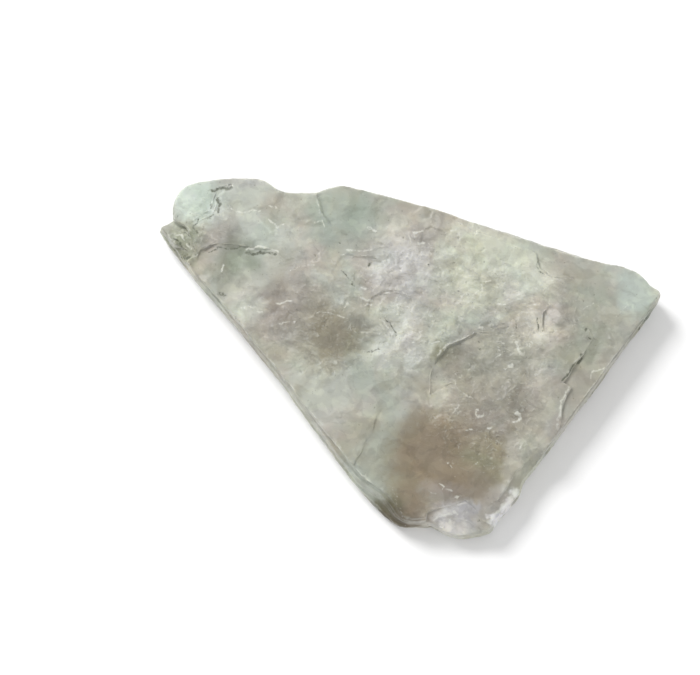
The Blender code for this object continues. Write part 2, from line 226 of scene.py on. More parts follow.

# Pale lips of flakes and small bright flecks: partly bruised stone, partly painted highlights and
# glints where light catches a lip.
RIM_HIGHLIGHTS = (
    Mark("nub_crumb_three", 0.4, 0.8, ((-69.4, 36.6), (-68.2, 36.0), (-67.3, 34.6))),
    Mark("nub_crumb_four", 0.35, 0.8, ((-66.4, 33.4), (-65.4, 32.0))),
    Mark("flake_lip", 0.4, 1.0, ((-48.3, 31.6), (-45.0, 32.4), (-42.0, 31.9), (-39.0, 30.9))),
    Mark("upper_ridge", 0.38, 0.7, ((-53.2, 43.9), (-49.6, 42.9), (-44.5, 43.4))),
    Mark("upper_fleck", 0.34, 0.7, ((-41.6, 45.1), (-39.5, 44.5))),
    Mark("beige_flecks", 0.42, 0.6, ((-41.8, 40.5), (-39.4, 38.0), (-37.6, 39.6))),
    Mark("teal_corner", 0.34, 0.6, ((-28.1, 39.9), (-25.7, 39.9), (-25.4, 38.0))),
    Mark("teal_step", 0.25, 0.6, ((-27.3, 47.9), (-26.6, 43.9), (-26.6, 40.8))),
    Mark("far_fleck", 0.38, 0.9, ((-12.0, 38.2), (-10.0, 37.4))),
    Mark("sheet_lip_one", 0.29, 0.7, ((-18.9, 31.0), (-15.0, 30.8), (-10.9, 31.6))),
    Mark("sheet_lip_two", 0.25, 0.6, ((-21.0, 29.4), (-17.1, 29.1), (-11.8, 29.7))),
    Mark("hollow_crescent", 0.34, 0.9, ((-55.6, 27.0), (-56.1, 25.1))),
    Mark("centre_line_lip", 0.21, 0.5, ((-9.4, 18.3), (-3.2, 18.4))),
    Mark("sparkle_one", 0.46, 1.0, ((-14.2, 20.0), (-13.0, 19.5))),
    Mark("sparkle_two", 0.42, 1.0, ((-14.5, 16.9), (-13.0, 16.0), (-11.2, 16.3))),
    Mark("sparkle_three", 0.34, 0.9, ((-13.6, 14.8), (-11.5, 15.1))),
    Mark("mid_left_lip", 0.34, 0.8, ((-39.2, 15.1), (-35.4, 15.4))),
    Mark("mid_left_fleck", 0.42, 0.6, ((-45.1, 12.7), (-43.3, 12.1))),
    Mark("left_flakes", 0.46, 0.6, ((-50.4, 14.2), (-48.4, 13.3), (-46.6, 14.2))),
    Mark("round_lip", 0.29, 0.5, ((-35.2, 24.8), (-32.5, 26.2), (-28.1, 26.7))),
    Mark("brown_cap", 0.25, 0.6, ((-29.5, 10.9), (-26.0, 12.1), (-20.4, 11.3), (-18.3, 10.3))),
    Mark("left_low_lip", 0.34, 0.6, ((-38.9, 8.9), (-33.9, 9.1))),
    Mark("s_curve_lip", 0.29, 0.6, ((-8.3, 9.4), (-6.8, 8.2), (-5.4, 5.2))),
    Mark("standing_veil", 0.34, 0.5, ((-3.8, 17.5), (-4.1, 14.5), (-3.6, 11.5))),
    Mark("white_bar_one", 0.25, 0.6, ((0.2, 5.8), (4.1, 6.4))),
    Mark("white_bar_two", 0.25, 0.6, ((0.8, 3.2), (4.6, 3.3))),
    Mark("white_bar_three", 0.25, 0.9, ((6.1, 3.2), (8.5, 3.4))),
    Mark("far_cluster_one", 0.38, 1.0, ((1.3, 36.3), (4.0, 36.9))),
    Mark("far_cluster_two", 0.34, 0.8, ((-0.5, 35.2), (0.1, 33.4))),
    Mark("far_cluster_three", 0.46, 1.0, ((2.2, 33.3), (4.3, 33.8))),
    Mark("far_cluster_four", 0.29, 0.9, ((5.7, 30.3), (6.0, 29.7))),
    Mark("far_flake", 0.46, 0.5, ((10.3, 36.2), (13.8, 38.0))),
    Mark(
        "curved_ledge_lip", 0.25, 0.4,
        ((37.2, 28.2), (37.4, 25.4), (38.8, 23.3), (42.1, 22.2), (46.2, 22.4), (49.2, 22.9)),
    ),
    Mark("field_arc_one", 0.25, 0.9, ((21.6, 21.6), (24.3, 21.7))),
    Mark("field_arc_two", 0.21, 0.6, ((21.0, 20.6), (21.3, 19.1), (18.6, 17.2))),
    Mark("scratch_one", 0.21, 0.8, ((33.6, 15.0), (36.6, 15.7))),
    Mark("scratch_two", 0.21, 0.7, ((34.2, 14.1), (38.1, 14.4))),
    Mark("field_bar", 0.29, 0.9, ((25.7, 14.8), (28.3, 14.2))),
    Mark("strip_line", 0.25, 0.6, ((50.1, 12.7), (54.3, 15.4))),
    Mark("long_scratch", 0.21, 0.5, ((59.2, 9.7), (64.3, 14.7))),
    Mark("strip_arc", 0.25, 0.8, ((52.5, -7.4), (52.9, -5.6), (57.3, -4.1))),
    Mark(
        "scar_lip", 0.3, 0.9,
        ((7.9, -0.7), (9.0, 0.9), (11.4, 2.9), (14.9, 3.9), (17.4, 5.3), (18.3, 6.4)),
    ),
    Mark("scar_fleck", 0.38, 1.0, ((20.6, 7.6), (21.1, 7.3))),
    Mark("standing_fleck", 0.46, 0.9, ((31.1, 3.7), (31.9, 1.6), (32.5, -0.2))),
    Mark("bright_crescent", 0.42, 1.0, ((27.7, -4.1), (28.6, -3.7), (29.8, -3.4))),
    Mark("small_bar_one", 0.29, 0.8, ((25.5, 3.7), (27.8, 3.2))),
    Mark("small_bar_two", 0.29, 0.7, ((24.8, -1.1), (27.8, 0.4))),
    Mark(
        "lower_crescent", 0.4, 0.8,
        ((20.0, -16.4), (19.2, -17.1), (19.2, -18.1), (20.1, -18.7), (21.1, -18.5)),
    ),
    Mark(
        "lower_hook", 0.44, 0.8,
        ((30.4, -17.4), (31.5, -18.3), (31.6, -19.4), (30.6, -20.3), (29.6, -20.2)),
    ),
    Mark("low_crescent_one", 0.34, 0.9, ((16.1, -22.5), (17.5, -22.8))),
    Mark("low_crescent_two", 0.34, 0.8, ((22.2, -22.2), (23.6, -21.9))),
    Mark("low_step_lip", 0.45, 0.7, ((46.2, -10.5), (44.2, -14.5), (43.3, -18.5), (42.8, -22.5))),
    Mark("tongue_edge", 0.34, 0.3, ((6.9, -5.6), (12.2, -7.7), (15.6, -11.3), (16.5, -12.5))),
    Mark("window_dot_one", 0.3, 0.8, ((10.6, -32.2), (10.9, -32.4))),
    Mark("window_dot_two", 0.3, 0.7, ((18.6, -32.3), (19.0, -32.1))),
    Mark("window_dot_three", 0.25, 0.7, ((12.7, -35.9), (12.9, -36.0))),
    Mark("window_hook_lip", 0.2, 0.7, ((11.5, -33.0), (12.3, -33.8))),
    Mark("window_twig_one", 0.28, 0.8, ((8.5, -38.3), (9.6, -39.3), (8.9, -40.1))),
    Mark("window_twig_two", 0.3, 0.8, ((10.4, -40.1), (11.5, -40.7))),
    Mark("window_twig_three", 0.28, 0.8, ((12.2, -41.9), (13.4, -42.6))),
    Mark("window_twig_four", 0.25, 0.7, ((5.0, -40.5), (7.3, -41.2))),
    Mark("tip_rim", 0.5, 0.25, ((-5.8, -38.9), (-4.1, -43.3), (-2.7, -47.3), (-1.6, -51.1))),
    Mark("lobe_ridge", 0.38, 0.9, ((6.5, -48.7), (9.5, -47.6), (13.5, -46.6))),
    Mark("lobe_smear_ridge", 0.42, 0.9, ((11.9, -48.5), (11.0, -50.4), (10.3, -52.8))),
    # Painted highlight along the bevel's edge.
    Mark("bevel_rim", 0.6, 1.0, ((22.6, -49.6), (26.5, -45.2), (30.8, -40.0))),
)

MARKS = {Stroke.CRACK: CRACKS_AND_LEDGE_SHADOWS, Stroke.RIM: RIM_HIGHLIGHTS}

# Soft patches of colour inside the stone, laid one over another in this order. The scar's and the
# lobe's shade patches are painted shade, and a small bright patch on the lobe is a painted
# highlight.
STONE_TINTS = (
    Tint("grey_upper_left", (-48.0, 44.0), 16.0, (0.46, 0.485, 0.435)),
    Tint("mint_lump", (-63.5, 46.0), 11.0, (0.50, 0.55, 0.49), 1.0),
    Tint("olive_nub", (-68.5, 33.5), 8.0, (0.275, 0.29, 0.215), 1.0),
    Tint("olive_hollow", (-52.0, 26.0), 10.0, (0.27, 0.29, 0.23), 1.0),
    Tint("pale_below_hollow", (-48.0, 16.0), 9.0, (0.45, 0.46, 0.40)),
    Tint("beige_far_left", (-38.0, 45.0), 8.0, (0.40, 0.38, 0.32)),
    Tint("teal_far_edge", (-20.0, 42.0), 13.0, (0.34, 0.375, 0.32), 0.9),
    Tint("brown_grey_left", (-34.0, 14.0), 12.0, (0.30, 0.285, 0.24), 1.0),
    Tint("lavender_centre", (-2.0, 24.0), 14.0, (0.475, 0.485, 0.45), 0.9),
    Tint("brown_left", (-23.0, 5.0), 11.0, (0.25, 0.225, 0.165), 0.9),
    Tint("pale_middle", (-3.0, 4.0), 12.0, (0.52, 0.52, 0.475), 0.9),
    Tint("olive_right", (20.0, 26.0), 17.0, (0.54, 0.555, 0.465)),
    Tint("pale_right", (36.0, 22.0), 11.0, (0.6, 0.61, 0.53)),
    Tint("rose_right", (38.0, 11.0), 9.0, (0.56, 0.545, 0.485)),
    Tint("grey_strip", (57.0, 9.0), 14.0, (0.35, 0.365, 0.305), 0.9),
    Tint("mint_tip", (67.0, 19.0), 9.0, (0.45, 0.52, 0.455), 0.9),
    Tint("low_strip", (51.0, -10.0), 11.0, (0.34, 0.335, 0.27)),
    Tint("scar_shadow", (11.5, -1.5), 6.0, (0.24, 0.235, 0.17), 0.85),
    Tint("scar_floor", (22.0, -5.0), 14.0, (0.31, 0.305, 0.25), 1.0),
    Tint("lower_grey", (25.0, -18.0), 15.0, (0.295, 0.28, 0.23), 1.0),
    Tint("pale_tongue", (6.0, -9.0), 8.0, (0.42, 0.41, 0.345), 0.9),
    Tint("brown_window", (7.0, -32.0), 19.0, (0.255, 0.215, 0.145), 1.0),
    Tint("olive_band", (22.0, -31.0), 9.0, (0.245, 0.225, 0.15), 0.8),
    Tint("mauve_window", (9.0, -42.0), 7.0, (0.33, 0.31, 0.27), 0.7),
    Tint("rust_window", (-1.0, -44.0), 8.0, (0.25, 0.205, 0.14), 0.9),
    Tint("pale_window_edge", (32.0, -31.0), 7.0, (0.42, 0.415, 0.35)),
    Tint("lilac_lobe", (14.0, -50.0), 7.5, (0.56, 0.57, 0.55), 0.9),
    Tint("lobe_shade", (18.0, -46.5), 3.5, (0.42, 0.43, 0.42)),
    # A painted highlight on the lobe's ridge.
    Tint("lobe_smear", (11.0, -50.5), 2.2, (0.72, 0.72, 0.66), 1.0),
    Tint("lobe_rim", (8.5, -55.0), 3.0, (0.36, 0.36, 0.31)),
)

# Patches that are laid over the walls' own paleness too: painted highlights on the bevel beside the
# lobe, painted shade at the right tip's edge, and the dark olive of the lower left side.
WALL_TINTS = (
    # Painted highlight on the sloping bevel beside the lobe.
    Tint("bevel_near", (25.2, -47.6), 2.7, (0.80, 0.81, 0.78), 1.0),
    Tint("bevel_middle", (28.2, -44.2), 2.7, (0.84, 0.85, 0.82), 1.0),
    Tint("bevel_far", (31.2, -40.6), 2.5, (0.80, 0.81, 0.77), 1.0),
    Tint("tip_shade", (71.5, 12.0), 3.4, (0.24, 0.27, 0.235), 0.9),
    Tint("olive_side", (-8.0, -50.0), 10.0, (0.13, 0.115, 0.07), 1.0),
)

# Where the face is torn into many small flakes.
FLAKED_FIELDS = (
    Spot((4.0, 16.0), 30.0),
    Spot((30.0, 10.0), 26.0),
    Spot((24.0, -16.0), 24.0, 0.9),
    Spot((-24.0, 8.0), 22.0, 0.7),
    Spot((-68.0, 34.0), 8.0),
    Spot((-60.0, 40.0), 12.0, 0.5),
    Spot((-42.0, 12.0), 14.0, 0.45),
    Spot((-30.0, 36.0), 16.0, 0.3),
    Spot((58.0, 6.0), 16.0, 0.25),
    Spot((12.0, -50.0), 10.0, 0.4),
)

# Where the stone is clearer, glossier and calmer.
CLEAR_WINDOWS = (
    Spot((4.0, -31.0), 19.0),
    Spot((0.0, -44.0), 10.0),
    Spot((-24.0, 4.0), 9.0, 0.5),
    Spot((-53.0, 25.0), 9.0, 0.6),
    Spot((-18.0, 43.0), 11.0, 0.6),
    Spot((66.0, 18.0), 11.0, 0.5),
)

# Where a ledge runs out into a soft slope.
FADED_LEDGES = (
    Spot((-61.5, 26.5), 4.5),
    Spot((-34.5, 26.5), 7.0),
    Spot((-31.0, 19.0), 6.0),
    Spot((-55.5, 49.0), 4.5, 0.9),
    Spot((-58.0, 44.5), 4.5),
    Spot((-62.0, 40.0), 4.5),
    Spot((-65.0, 33.0), 5.0, 0.8),
    Spot((-54.0, 31.5), 6.0, 0.93),
    Spot((-46.0, 31.0), 5.0, 0.6),
    Spot((-40.0, 29.5), 4.0, 0.9),
    Spot((-19.0, 37.0), 6.5),
    Spot((-10.0, 36.5), 6.5),
    Spot((-1.0, 38.5), 7.0),
    Spot((14.0, 40.5), 6.0, 0.8),
    Spot((21.0, 37.5), 6.0, 0.8),
    Spot((28.0, 34.5), 6.0, 0.8),
    Spot((34.0, 32.0), 4.5, 0.6),
    Spot((49.5, 19.0), 6.0),
    Spot((48.5, 12.0), 6.0),
    Spot((53.0, 5.0), 7.0),
    Spot((42.0, 24.0), 6.0, 0.7),
    Spot((45.5, -13.0), 4.0, 0.4),
    Spot((6.5, -7.0), 7.0),
    Spot((10.0, 0.0), 6.0, 0.5),
    Spot((15.0, 3.5), 5.0, 0.4),
    Spot((10.0, -17.0), 6.5, 0.9),
    Spot((36.0, -20.5), 6.0),
    Spot((42.5, -22.5), 5.0, 0.9),
    Spot((-15.0, -24.0), 6.0, 0.6),
    Spot((22.5, 5.5), 5.5),
    Spot((29.0, 5.0), 6.5),
    Spot((38.0, 3.0), 6.0),
    Spot((6.5, -12.0), 5.0, 0.9),
    Spot((14.0, -10.5), 5.5, 0.75),
    Spot((-13.0, -27.0), 7.0, 0.8),
    Spot((-5.0, -16.0), 7.0, 0.8),
    Spot((3.0, -16.0), 5.0, 0.8),
    Spot((36.0, -31.5), 5.0),
    Spot((32.0, -37.0), 4.0, 0.7),
    Spot((14.0, -49.0), 12.0),
    Spot((23.0, -47.0), 7.0),
)

# Corners that are rounder than the solid's.
ROUNDED_CORNERS = (Spot((74.0, 17.5), 6.0),)

# Ragged patches of lighter, darker and faintly coloured stone.
MOTTLES = (
    Mottle("lilac", (1.02, 0.99, 1.03), 0.05, (0.45, 0.60), 3.0),
    Mottle("mint", (0.97, 1.01, 0.99), 0.06, (0.47, 0.60), 19.0),
    Mottle("rust", (1.01, 0.985, 0.955), 0.08, (0.50, 0.62), 43.0),
    Mottle("cream", (1.09, 1.09, 1.07), 0.075, (0.51, 0.57), 31.0),
    Mottle("dusk", (0.87, 0.86, 0.84), 0.10, (0.53, 0.60), 57.0),
    Mottle("torn_cream", (1.10, 1.10, 1.08), 0.20, (0.54, 0.59), 83.0),
    Mottle("torn_grey", (0.89, 0.89, 0.89), 0.24, (0.56, 0.62), 11.0),
)


def select_only(obj: bpy.types.Object) -> None:
    """Makes an object the active one and the only one selected.

    Args:
        obj: The object to select.
    """
    bpy.ops.object.select_all(action="DESELECT")
    obj.select_set(True)
    bpy.context.view_layer.objects.active = obj


def smooth_step(low: Bound, high: Bound, values: np.ndarray) -> np.ndarray:
    """Eases values from 0 at one limit to 1 at the other.

    Args:
        low: The value that gives 0, or one for each value.
        high: The value that gives 1, or one for each value.
        values: The values to ease.

    Returns:
        The eased values.
    """
    share = np.clip((values - low) / (high - low), 0.0, 1.0)
    return share * share * (3.0 - 2.0 * share)


def spots_at(spots: tuple[Spot, ...], places: np.ndarray) -> np.ndarray:
    """Works out how strongly the nearest spots hold at some places.

    Args:
        spots: The spots.
        places: The places, in millimetres.

    Returns:
        A share from 0 to 1 for each place.
    """
    share = np.zeros(len(places))
    for spot in spots:
        away = np.hypot(places[:, 0] - spot.centre[0], places[:, 1] - spot.centre[1])
        inside = 1.0 - smooth_step(0.45 * spot.radius, spot.radius, away)
        share = np.maximum(share, spot.strength * inside)
    return share


class Grain:
    """Soft random values over the plane, which are the same in every run."""

    SIDE = 256

    def __init__(self, seed: int) -> None:
        """Draws the values.

        Args:
            seed: The number that the values are drawn from.
        """
        self.values = np.random.RandomState(seed).rand(self.SIDE, self.SIDE)

    def soft(self, along: np.ndarray, across: np.ndarray) -> np.ndarray:
        """Gives one layer of values.

        Args:
            along: The first coordinate, in cells.
            across: The second coordinate, in cells.

        Returns:
            Values from 0 to 1.
        """
        column = np.floor(along).astype(int)
        row = np.floor(across).astype(int)
        part_a = along - column
        part_b = across - row
        ease_a = part_a**3 * (part_a * (part_a * 6.0 - 15.0) + 10.0)
        ease_b = part_b**3 * (part_b * (part_b * 6.0 - 15.0) + 10.0)
        left, right = column % self.SIDE, (column + 1) % self.SIDE
        near, far = row % self.SIDE, (row + 1) % self.SIDE
        low = self.values[left, near] * (1.0 - ease_a) + self.values[right, near] * ease_a
        high = self.values[left, far] * (1.0 - ease_a) + self.values[right, far] * ease_a
        return low * (1.0 - ease_b) + high * ease_b

    def layered(self, along: np.ndarray, across: np.ndarray, layers: int) -> np.ndarray:
        """Adds finer and finer layers, each turned against the one before.

        Args:
            along: The first coordinate, in cells of the coarsest layer.
            across: The second coordinate.
            layers: How many layers there are.

        Returns:
            Values that lie mostly between 0 and 1, with 0.5 in the middle.
        """
        total = np.zeros(len(along))
        weight = 1.0
        for layer in range(layers):
            total += weight * (self.soft(along + 17.3 * layer, across + 9.1 * layer) - 0.5)
            turned = 1.6 * along - 1.2 * across
            across = 1.2 * along + 1.6 * across
            along = turned
            weight *= 0.5
        return 0.5 + total / 1.2


@dataclass(frozen=True)
class Wobble:
    """A soft sideways shift of places, which makes drawn outlines ragged."""

    seed: int
    reach: float
    cell: float
    layers: int = 3

    def bend(self, places: np.ndarray) -> np.ndarray:
        """Shifts places.

        Args:
            places: Places in millimetres.

        Returns:
            The shifted places, without their height.
        """
        grain = Grain(self.seed)
        along, across = places[:, 0] / self.cell, places[:, 1] / self.cell
        shift_x = grain.layered(along, across, self.layers) - 0.5
        shift_y = grain.layered(across, along, self.layers) - 0.5
        return places[:, :2] + self.reach * np.column_stack((shift_x, shift_y))


class Tree:
    """A short way to add and join shader nodes."""

    def __init__(self, tree: bpy.types.NodeTree) -> None:
        """Keeps the tree that nodes are added to.

        Args:
            tree: The node tree of a material or of a group.
        """
        self.tree = tree

    def add(self, kind: str, **settings: object) -> bpy.types.Node:
        """Adds a node.

        Args:
            kind: The node's type, as Blender names it.
            **settings: Properties of the node, by name.

        Returns:
            The new node.
        """
        node = self.tree.nodes.new(kind)
        for name, value in settings.items():
            setattr(node, name, value)
        return node

    def join(self, source: object, target: Socket) -> None:
        """Feeds a socket from another one, or sets its value.

        Args:
            source: An output socket, or a plain value.
            target: The input socket.
        """
        if isinstance(source, Socket):
            self.tree.links.new(source, target)
        elif isinstance(source, tuple) and len(source) == 3 and target.type == "RGBA":
            target.default_value = (*source, 1.0)
        else:
            target.default_value = source

    def math(self, operation: str, *values: object, clamp: bool = False) -> Socket:
        """Adds a Math node.

        Args:
            operation: What the node works out.
            *values: A socket or a number for each input.
            clamp: Whether the result is kept between 0 and 1.

        Returns:
            The result's socket.
        """
        node = self.add("ShaderNodeMath", operation=operation, use_clamp=clamp)
        for value, target in zip(values, node.inputs):
            self.join(value, target)
        return node.outputs[0]

    def vector(self, operation: str, *values: object) -> Socket:
        """Adds a Vector Math node whose result is a vector.

        Args:
            operation: What the node works out.
            *values: A socket or a tuple for each of the first inputs.

        Returns:
            The result's socket.
        """
        node = self.add("ShaderNodeVectorMath", operation=operation)
        for value, target in zip(values, node.inputs):
            self.join(value, target)
        return node.outputs[0]

    def mix(
        self, share: object, under: object, over: object, blend: str = "MIX"
    ) -> Socket:
        """Mixes two colours.

        Args:
            share: How much of the second colour shows.
            under: The first colour.
            over: The second colour.
            blend: How the second colour is laid over the first.

        Returns:
            The mixed colour's socket.
        """
        node = self.add("ShaderNodeMix", data_type="RGBA", blend_type=blend)
        self.join(share, node.inputs["Factor"])
        self.join(under, node.inputs[6])
        self.join(over, node.inputs[7])
        return node.outputs[2]

    def noise(
        self,
        place: Socket,
        scale: float,
        detail: float = 3.0,
        roughness: float = 0.55,
        distortion: float = 0.0,
    ) -> bpy.types.Node:
        """Adds a noise texture.

        Args:
            place: Where the noise is read.
            scale: The noise's scale.
            detail: How many finer layers it has.
            roughness: How strong those are.
            distortion: How far it is warped.

        Returns:
            The texture node.
        """
        node = self.add("ShaderNodeTexNoise")
        self.join(place, node.inputs["Vector"])
        self.join(scale, node.inputs["Scale"])
        self.join(detail, node.inputs["Detail"])
        self.join(roughness, node.inputs["Roughness"])
        self.join(distortion, node.inputs["Distortion"])
        return node

    def ramp(self, value: object, low: float, high: float) -> Socket:
        """Eases a value to a mask between two limits.

        Args:
            value: The value's socket.
            low: The value that gives 0.
            high: The value that gives 1.

        Returns:
            The mask's socket.
        """
        node = self.add("ShaderNodeMapRange", interpolation_type="SMOOTHSTEP")
        self.join(value, node.inputs["Value"])
        self.join(low, node.inputs["From Min"])
        self.join(high, node.inputs["From Max"])
        return node.outputs["Result"]

    def between(self, share: object, low: float, high: float) -> Socket:
        """Goes evenly from one number to another.

        Args:
            share: How far to go, from 0 to 1.
            low: The number at 0.
            high: The number at 1.

        Returns:
            The result's socket.
        """
        return self.math("MULTIPLY_ADD", share, high - low, low)

    def turned(self, place: Socket, turn: float, scale: Triple) -> Socket:
        """Turns places about the vertical axis and then stretches them.

        Args:
            place: The places' socket.
            turn: The direction that becomes the first axis, in degrees.
            scale: What each axis is multiplied by.

        Returns:
            The new places' socket.
        """
        node = self.add("ShaderNodeMapping")
        self.join(place, node.inputs["Vector"])
        node.inputs["Rotation"].default_value = (0.0, 0.0, math.radians(-turn))
        return self.vector("MULTIPLY", node.outputs[0], scale)


def new_group(name: str, inputs: dict[str, str], outputs: dict[str, str]) -> bpy.types.NodeTree:
    """Makes an empty shader node group.

    Args:
        name: The group's name.
        inputs: Its inputs' names, each with the type of its socket.
        outputs: Its outputs' names, each with the type of its socket.

    Returns:
        The group.
    """
    group = bpy.data.node_groups.new(name, "ShaderNodeTree")
    for way, sockets in (("INPUT", inputs), ("OUTPUT", outputs)):
        for socket, kind in sockets.items():
            group.interface.new_socket(name=socket, in_out=way, socket_type=kind)
    return group


def soft_patch_group() -> bpy.types.NodeTree:
    """Makes the group that lays one soft patch of colour over another colour.

    Returns:
        The group.
    """
    group = new_group(
        "soft_patch",
        {
            "Place": "NodeSocketVector",
            "Under": "NodeSocketColor",
            "Centre": "NodeSocketVector",
            "Radius": "NodeSocketFloat",
            "Tint": "NodeSocketColor",
            "Strength": "NodeSocketFloat",
        },
        {"Colour": "NodeSocketColor"},
    )
    tree = Tree(group)
    given = tree.add("NodeGroupInput").outputs
    away = tree.add("ShaderNodeVectorMath", operation="DISTANCE")
    tree.join(given["Place"], away.inputs[0])
    tree.join(given["Centre"], away.inputs[1])
    share = tree.math("DIVIDE", away.outputs["Value"], given["Radius"])
    # A patch is full up to 0.42 of its radius, and gone a little past it.
    amount = tree.math("MULTIPLY", tree.ramp(share, 1.1, 0.42), given["Strength"])
    result = tree.add("NodeGroupOutput")
    tree.join(tree.mix(amount, given["Under"], given["Tint"]), result.inputs["Colour"])
    return group


def thin_sheets_group() -> bpy.types.NodeTree:
    """Makes the group for thin torn sheets, each with a tone of its own.

    Returns:
        The group.
    """
    group = new_group(
        "thin_sheets",
        {"Place": "NodeSocketVector", "Steps": "NodeSocketFloat"},
        {"Tone": "NodeSocketFloat", "Height": "NodeSocketFloat"},
    )
    tree = Tree(group)
    given = tree.add("NodeGroupInput").outputs
    rolling = tree.noise(given["Place"], 1.0, detail=4.0, distortion=0.4).outputs["Fac"]
    height = tree.math("MULTIPLY", rolling, given["Steps"])
    level = tree.math("ROUND", height)
    tone = tree.add("ShaderNodeTexWhiteNoise", noise_dimensions="1D")
    tree.join(level, tone.inputs["W"])
    past = tree.math("ADD", tree.math("SUBTRACT", height, level), 0.5)
    rise = tree.math("ADD", tree.ramp(past, 0.0, 0.14), tree.ramp(past, 0.86, 1.0))
    stepped = tree.math("ADD", level, tree.math("MULTIPLY", rise, 0.5))
    result = tree.add("NodeGroupOutput")
    tree.join(tone.outputs["Value"], result.inputs["Tone"])
    tree.join(stepped, result.inputs["Height"])
    return group


def wisp_group() -> bpy.types.NodeTree:
    """Makes the group for thin curved wisps, such as the edges of hidden fractures.

    Returns:
        The group.
    """
    group = new_group(
        "curved_wisps",
        {"Place": "NodeSocketVector", "Width": "NodeSocketFloat"},
        {"Mask": "NodeSocketFloat"},
    )
    tree = Tree(group)
    given = tree.add("NodeGroupInput").outputs
    rolling = tree.noise(given["Place"], 1.0, roughness=0.5, distortion=0.3).outputs["Fac"]
    away = tree.math("ABSOLUTE", tree.math("SUBTRACT", rolling, 0.5))
    line = tree.math("SUBTRACT", 1.0, tree.math("DIVIDE", away, given["Width"]), clamp=True)
    breaks = tree.noise(given["Place"], 2.4, detail=1.0).outputs["Fac"]
    result = tree.add("NodeGroupOutput")
    tree.join(tree.math("MULTIPLY", line, tree.ramp(breaks, 0.60, 0.68)), result.inputs["Mask"])
    return group


@dataclass(frozen=True)
class StoneSockets:
    """What the finish's steps read: places in millimetres, two masks and two layers of sheets."""

    place: Socket
    warped: Socket
    flaked: Socket
    clear: Socket
    small: bpy.types.Node
    large: bpy.types.Node


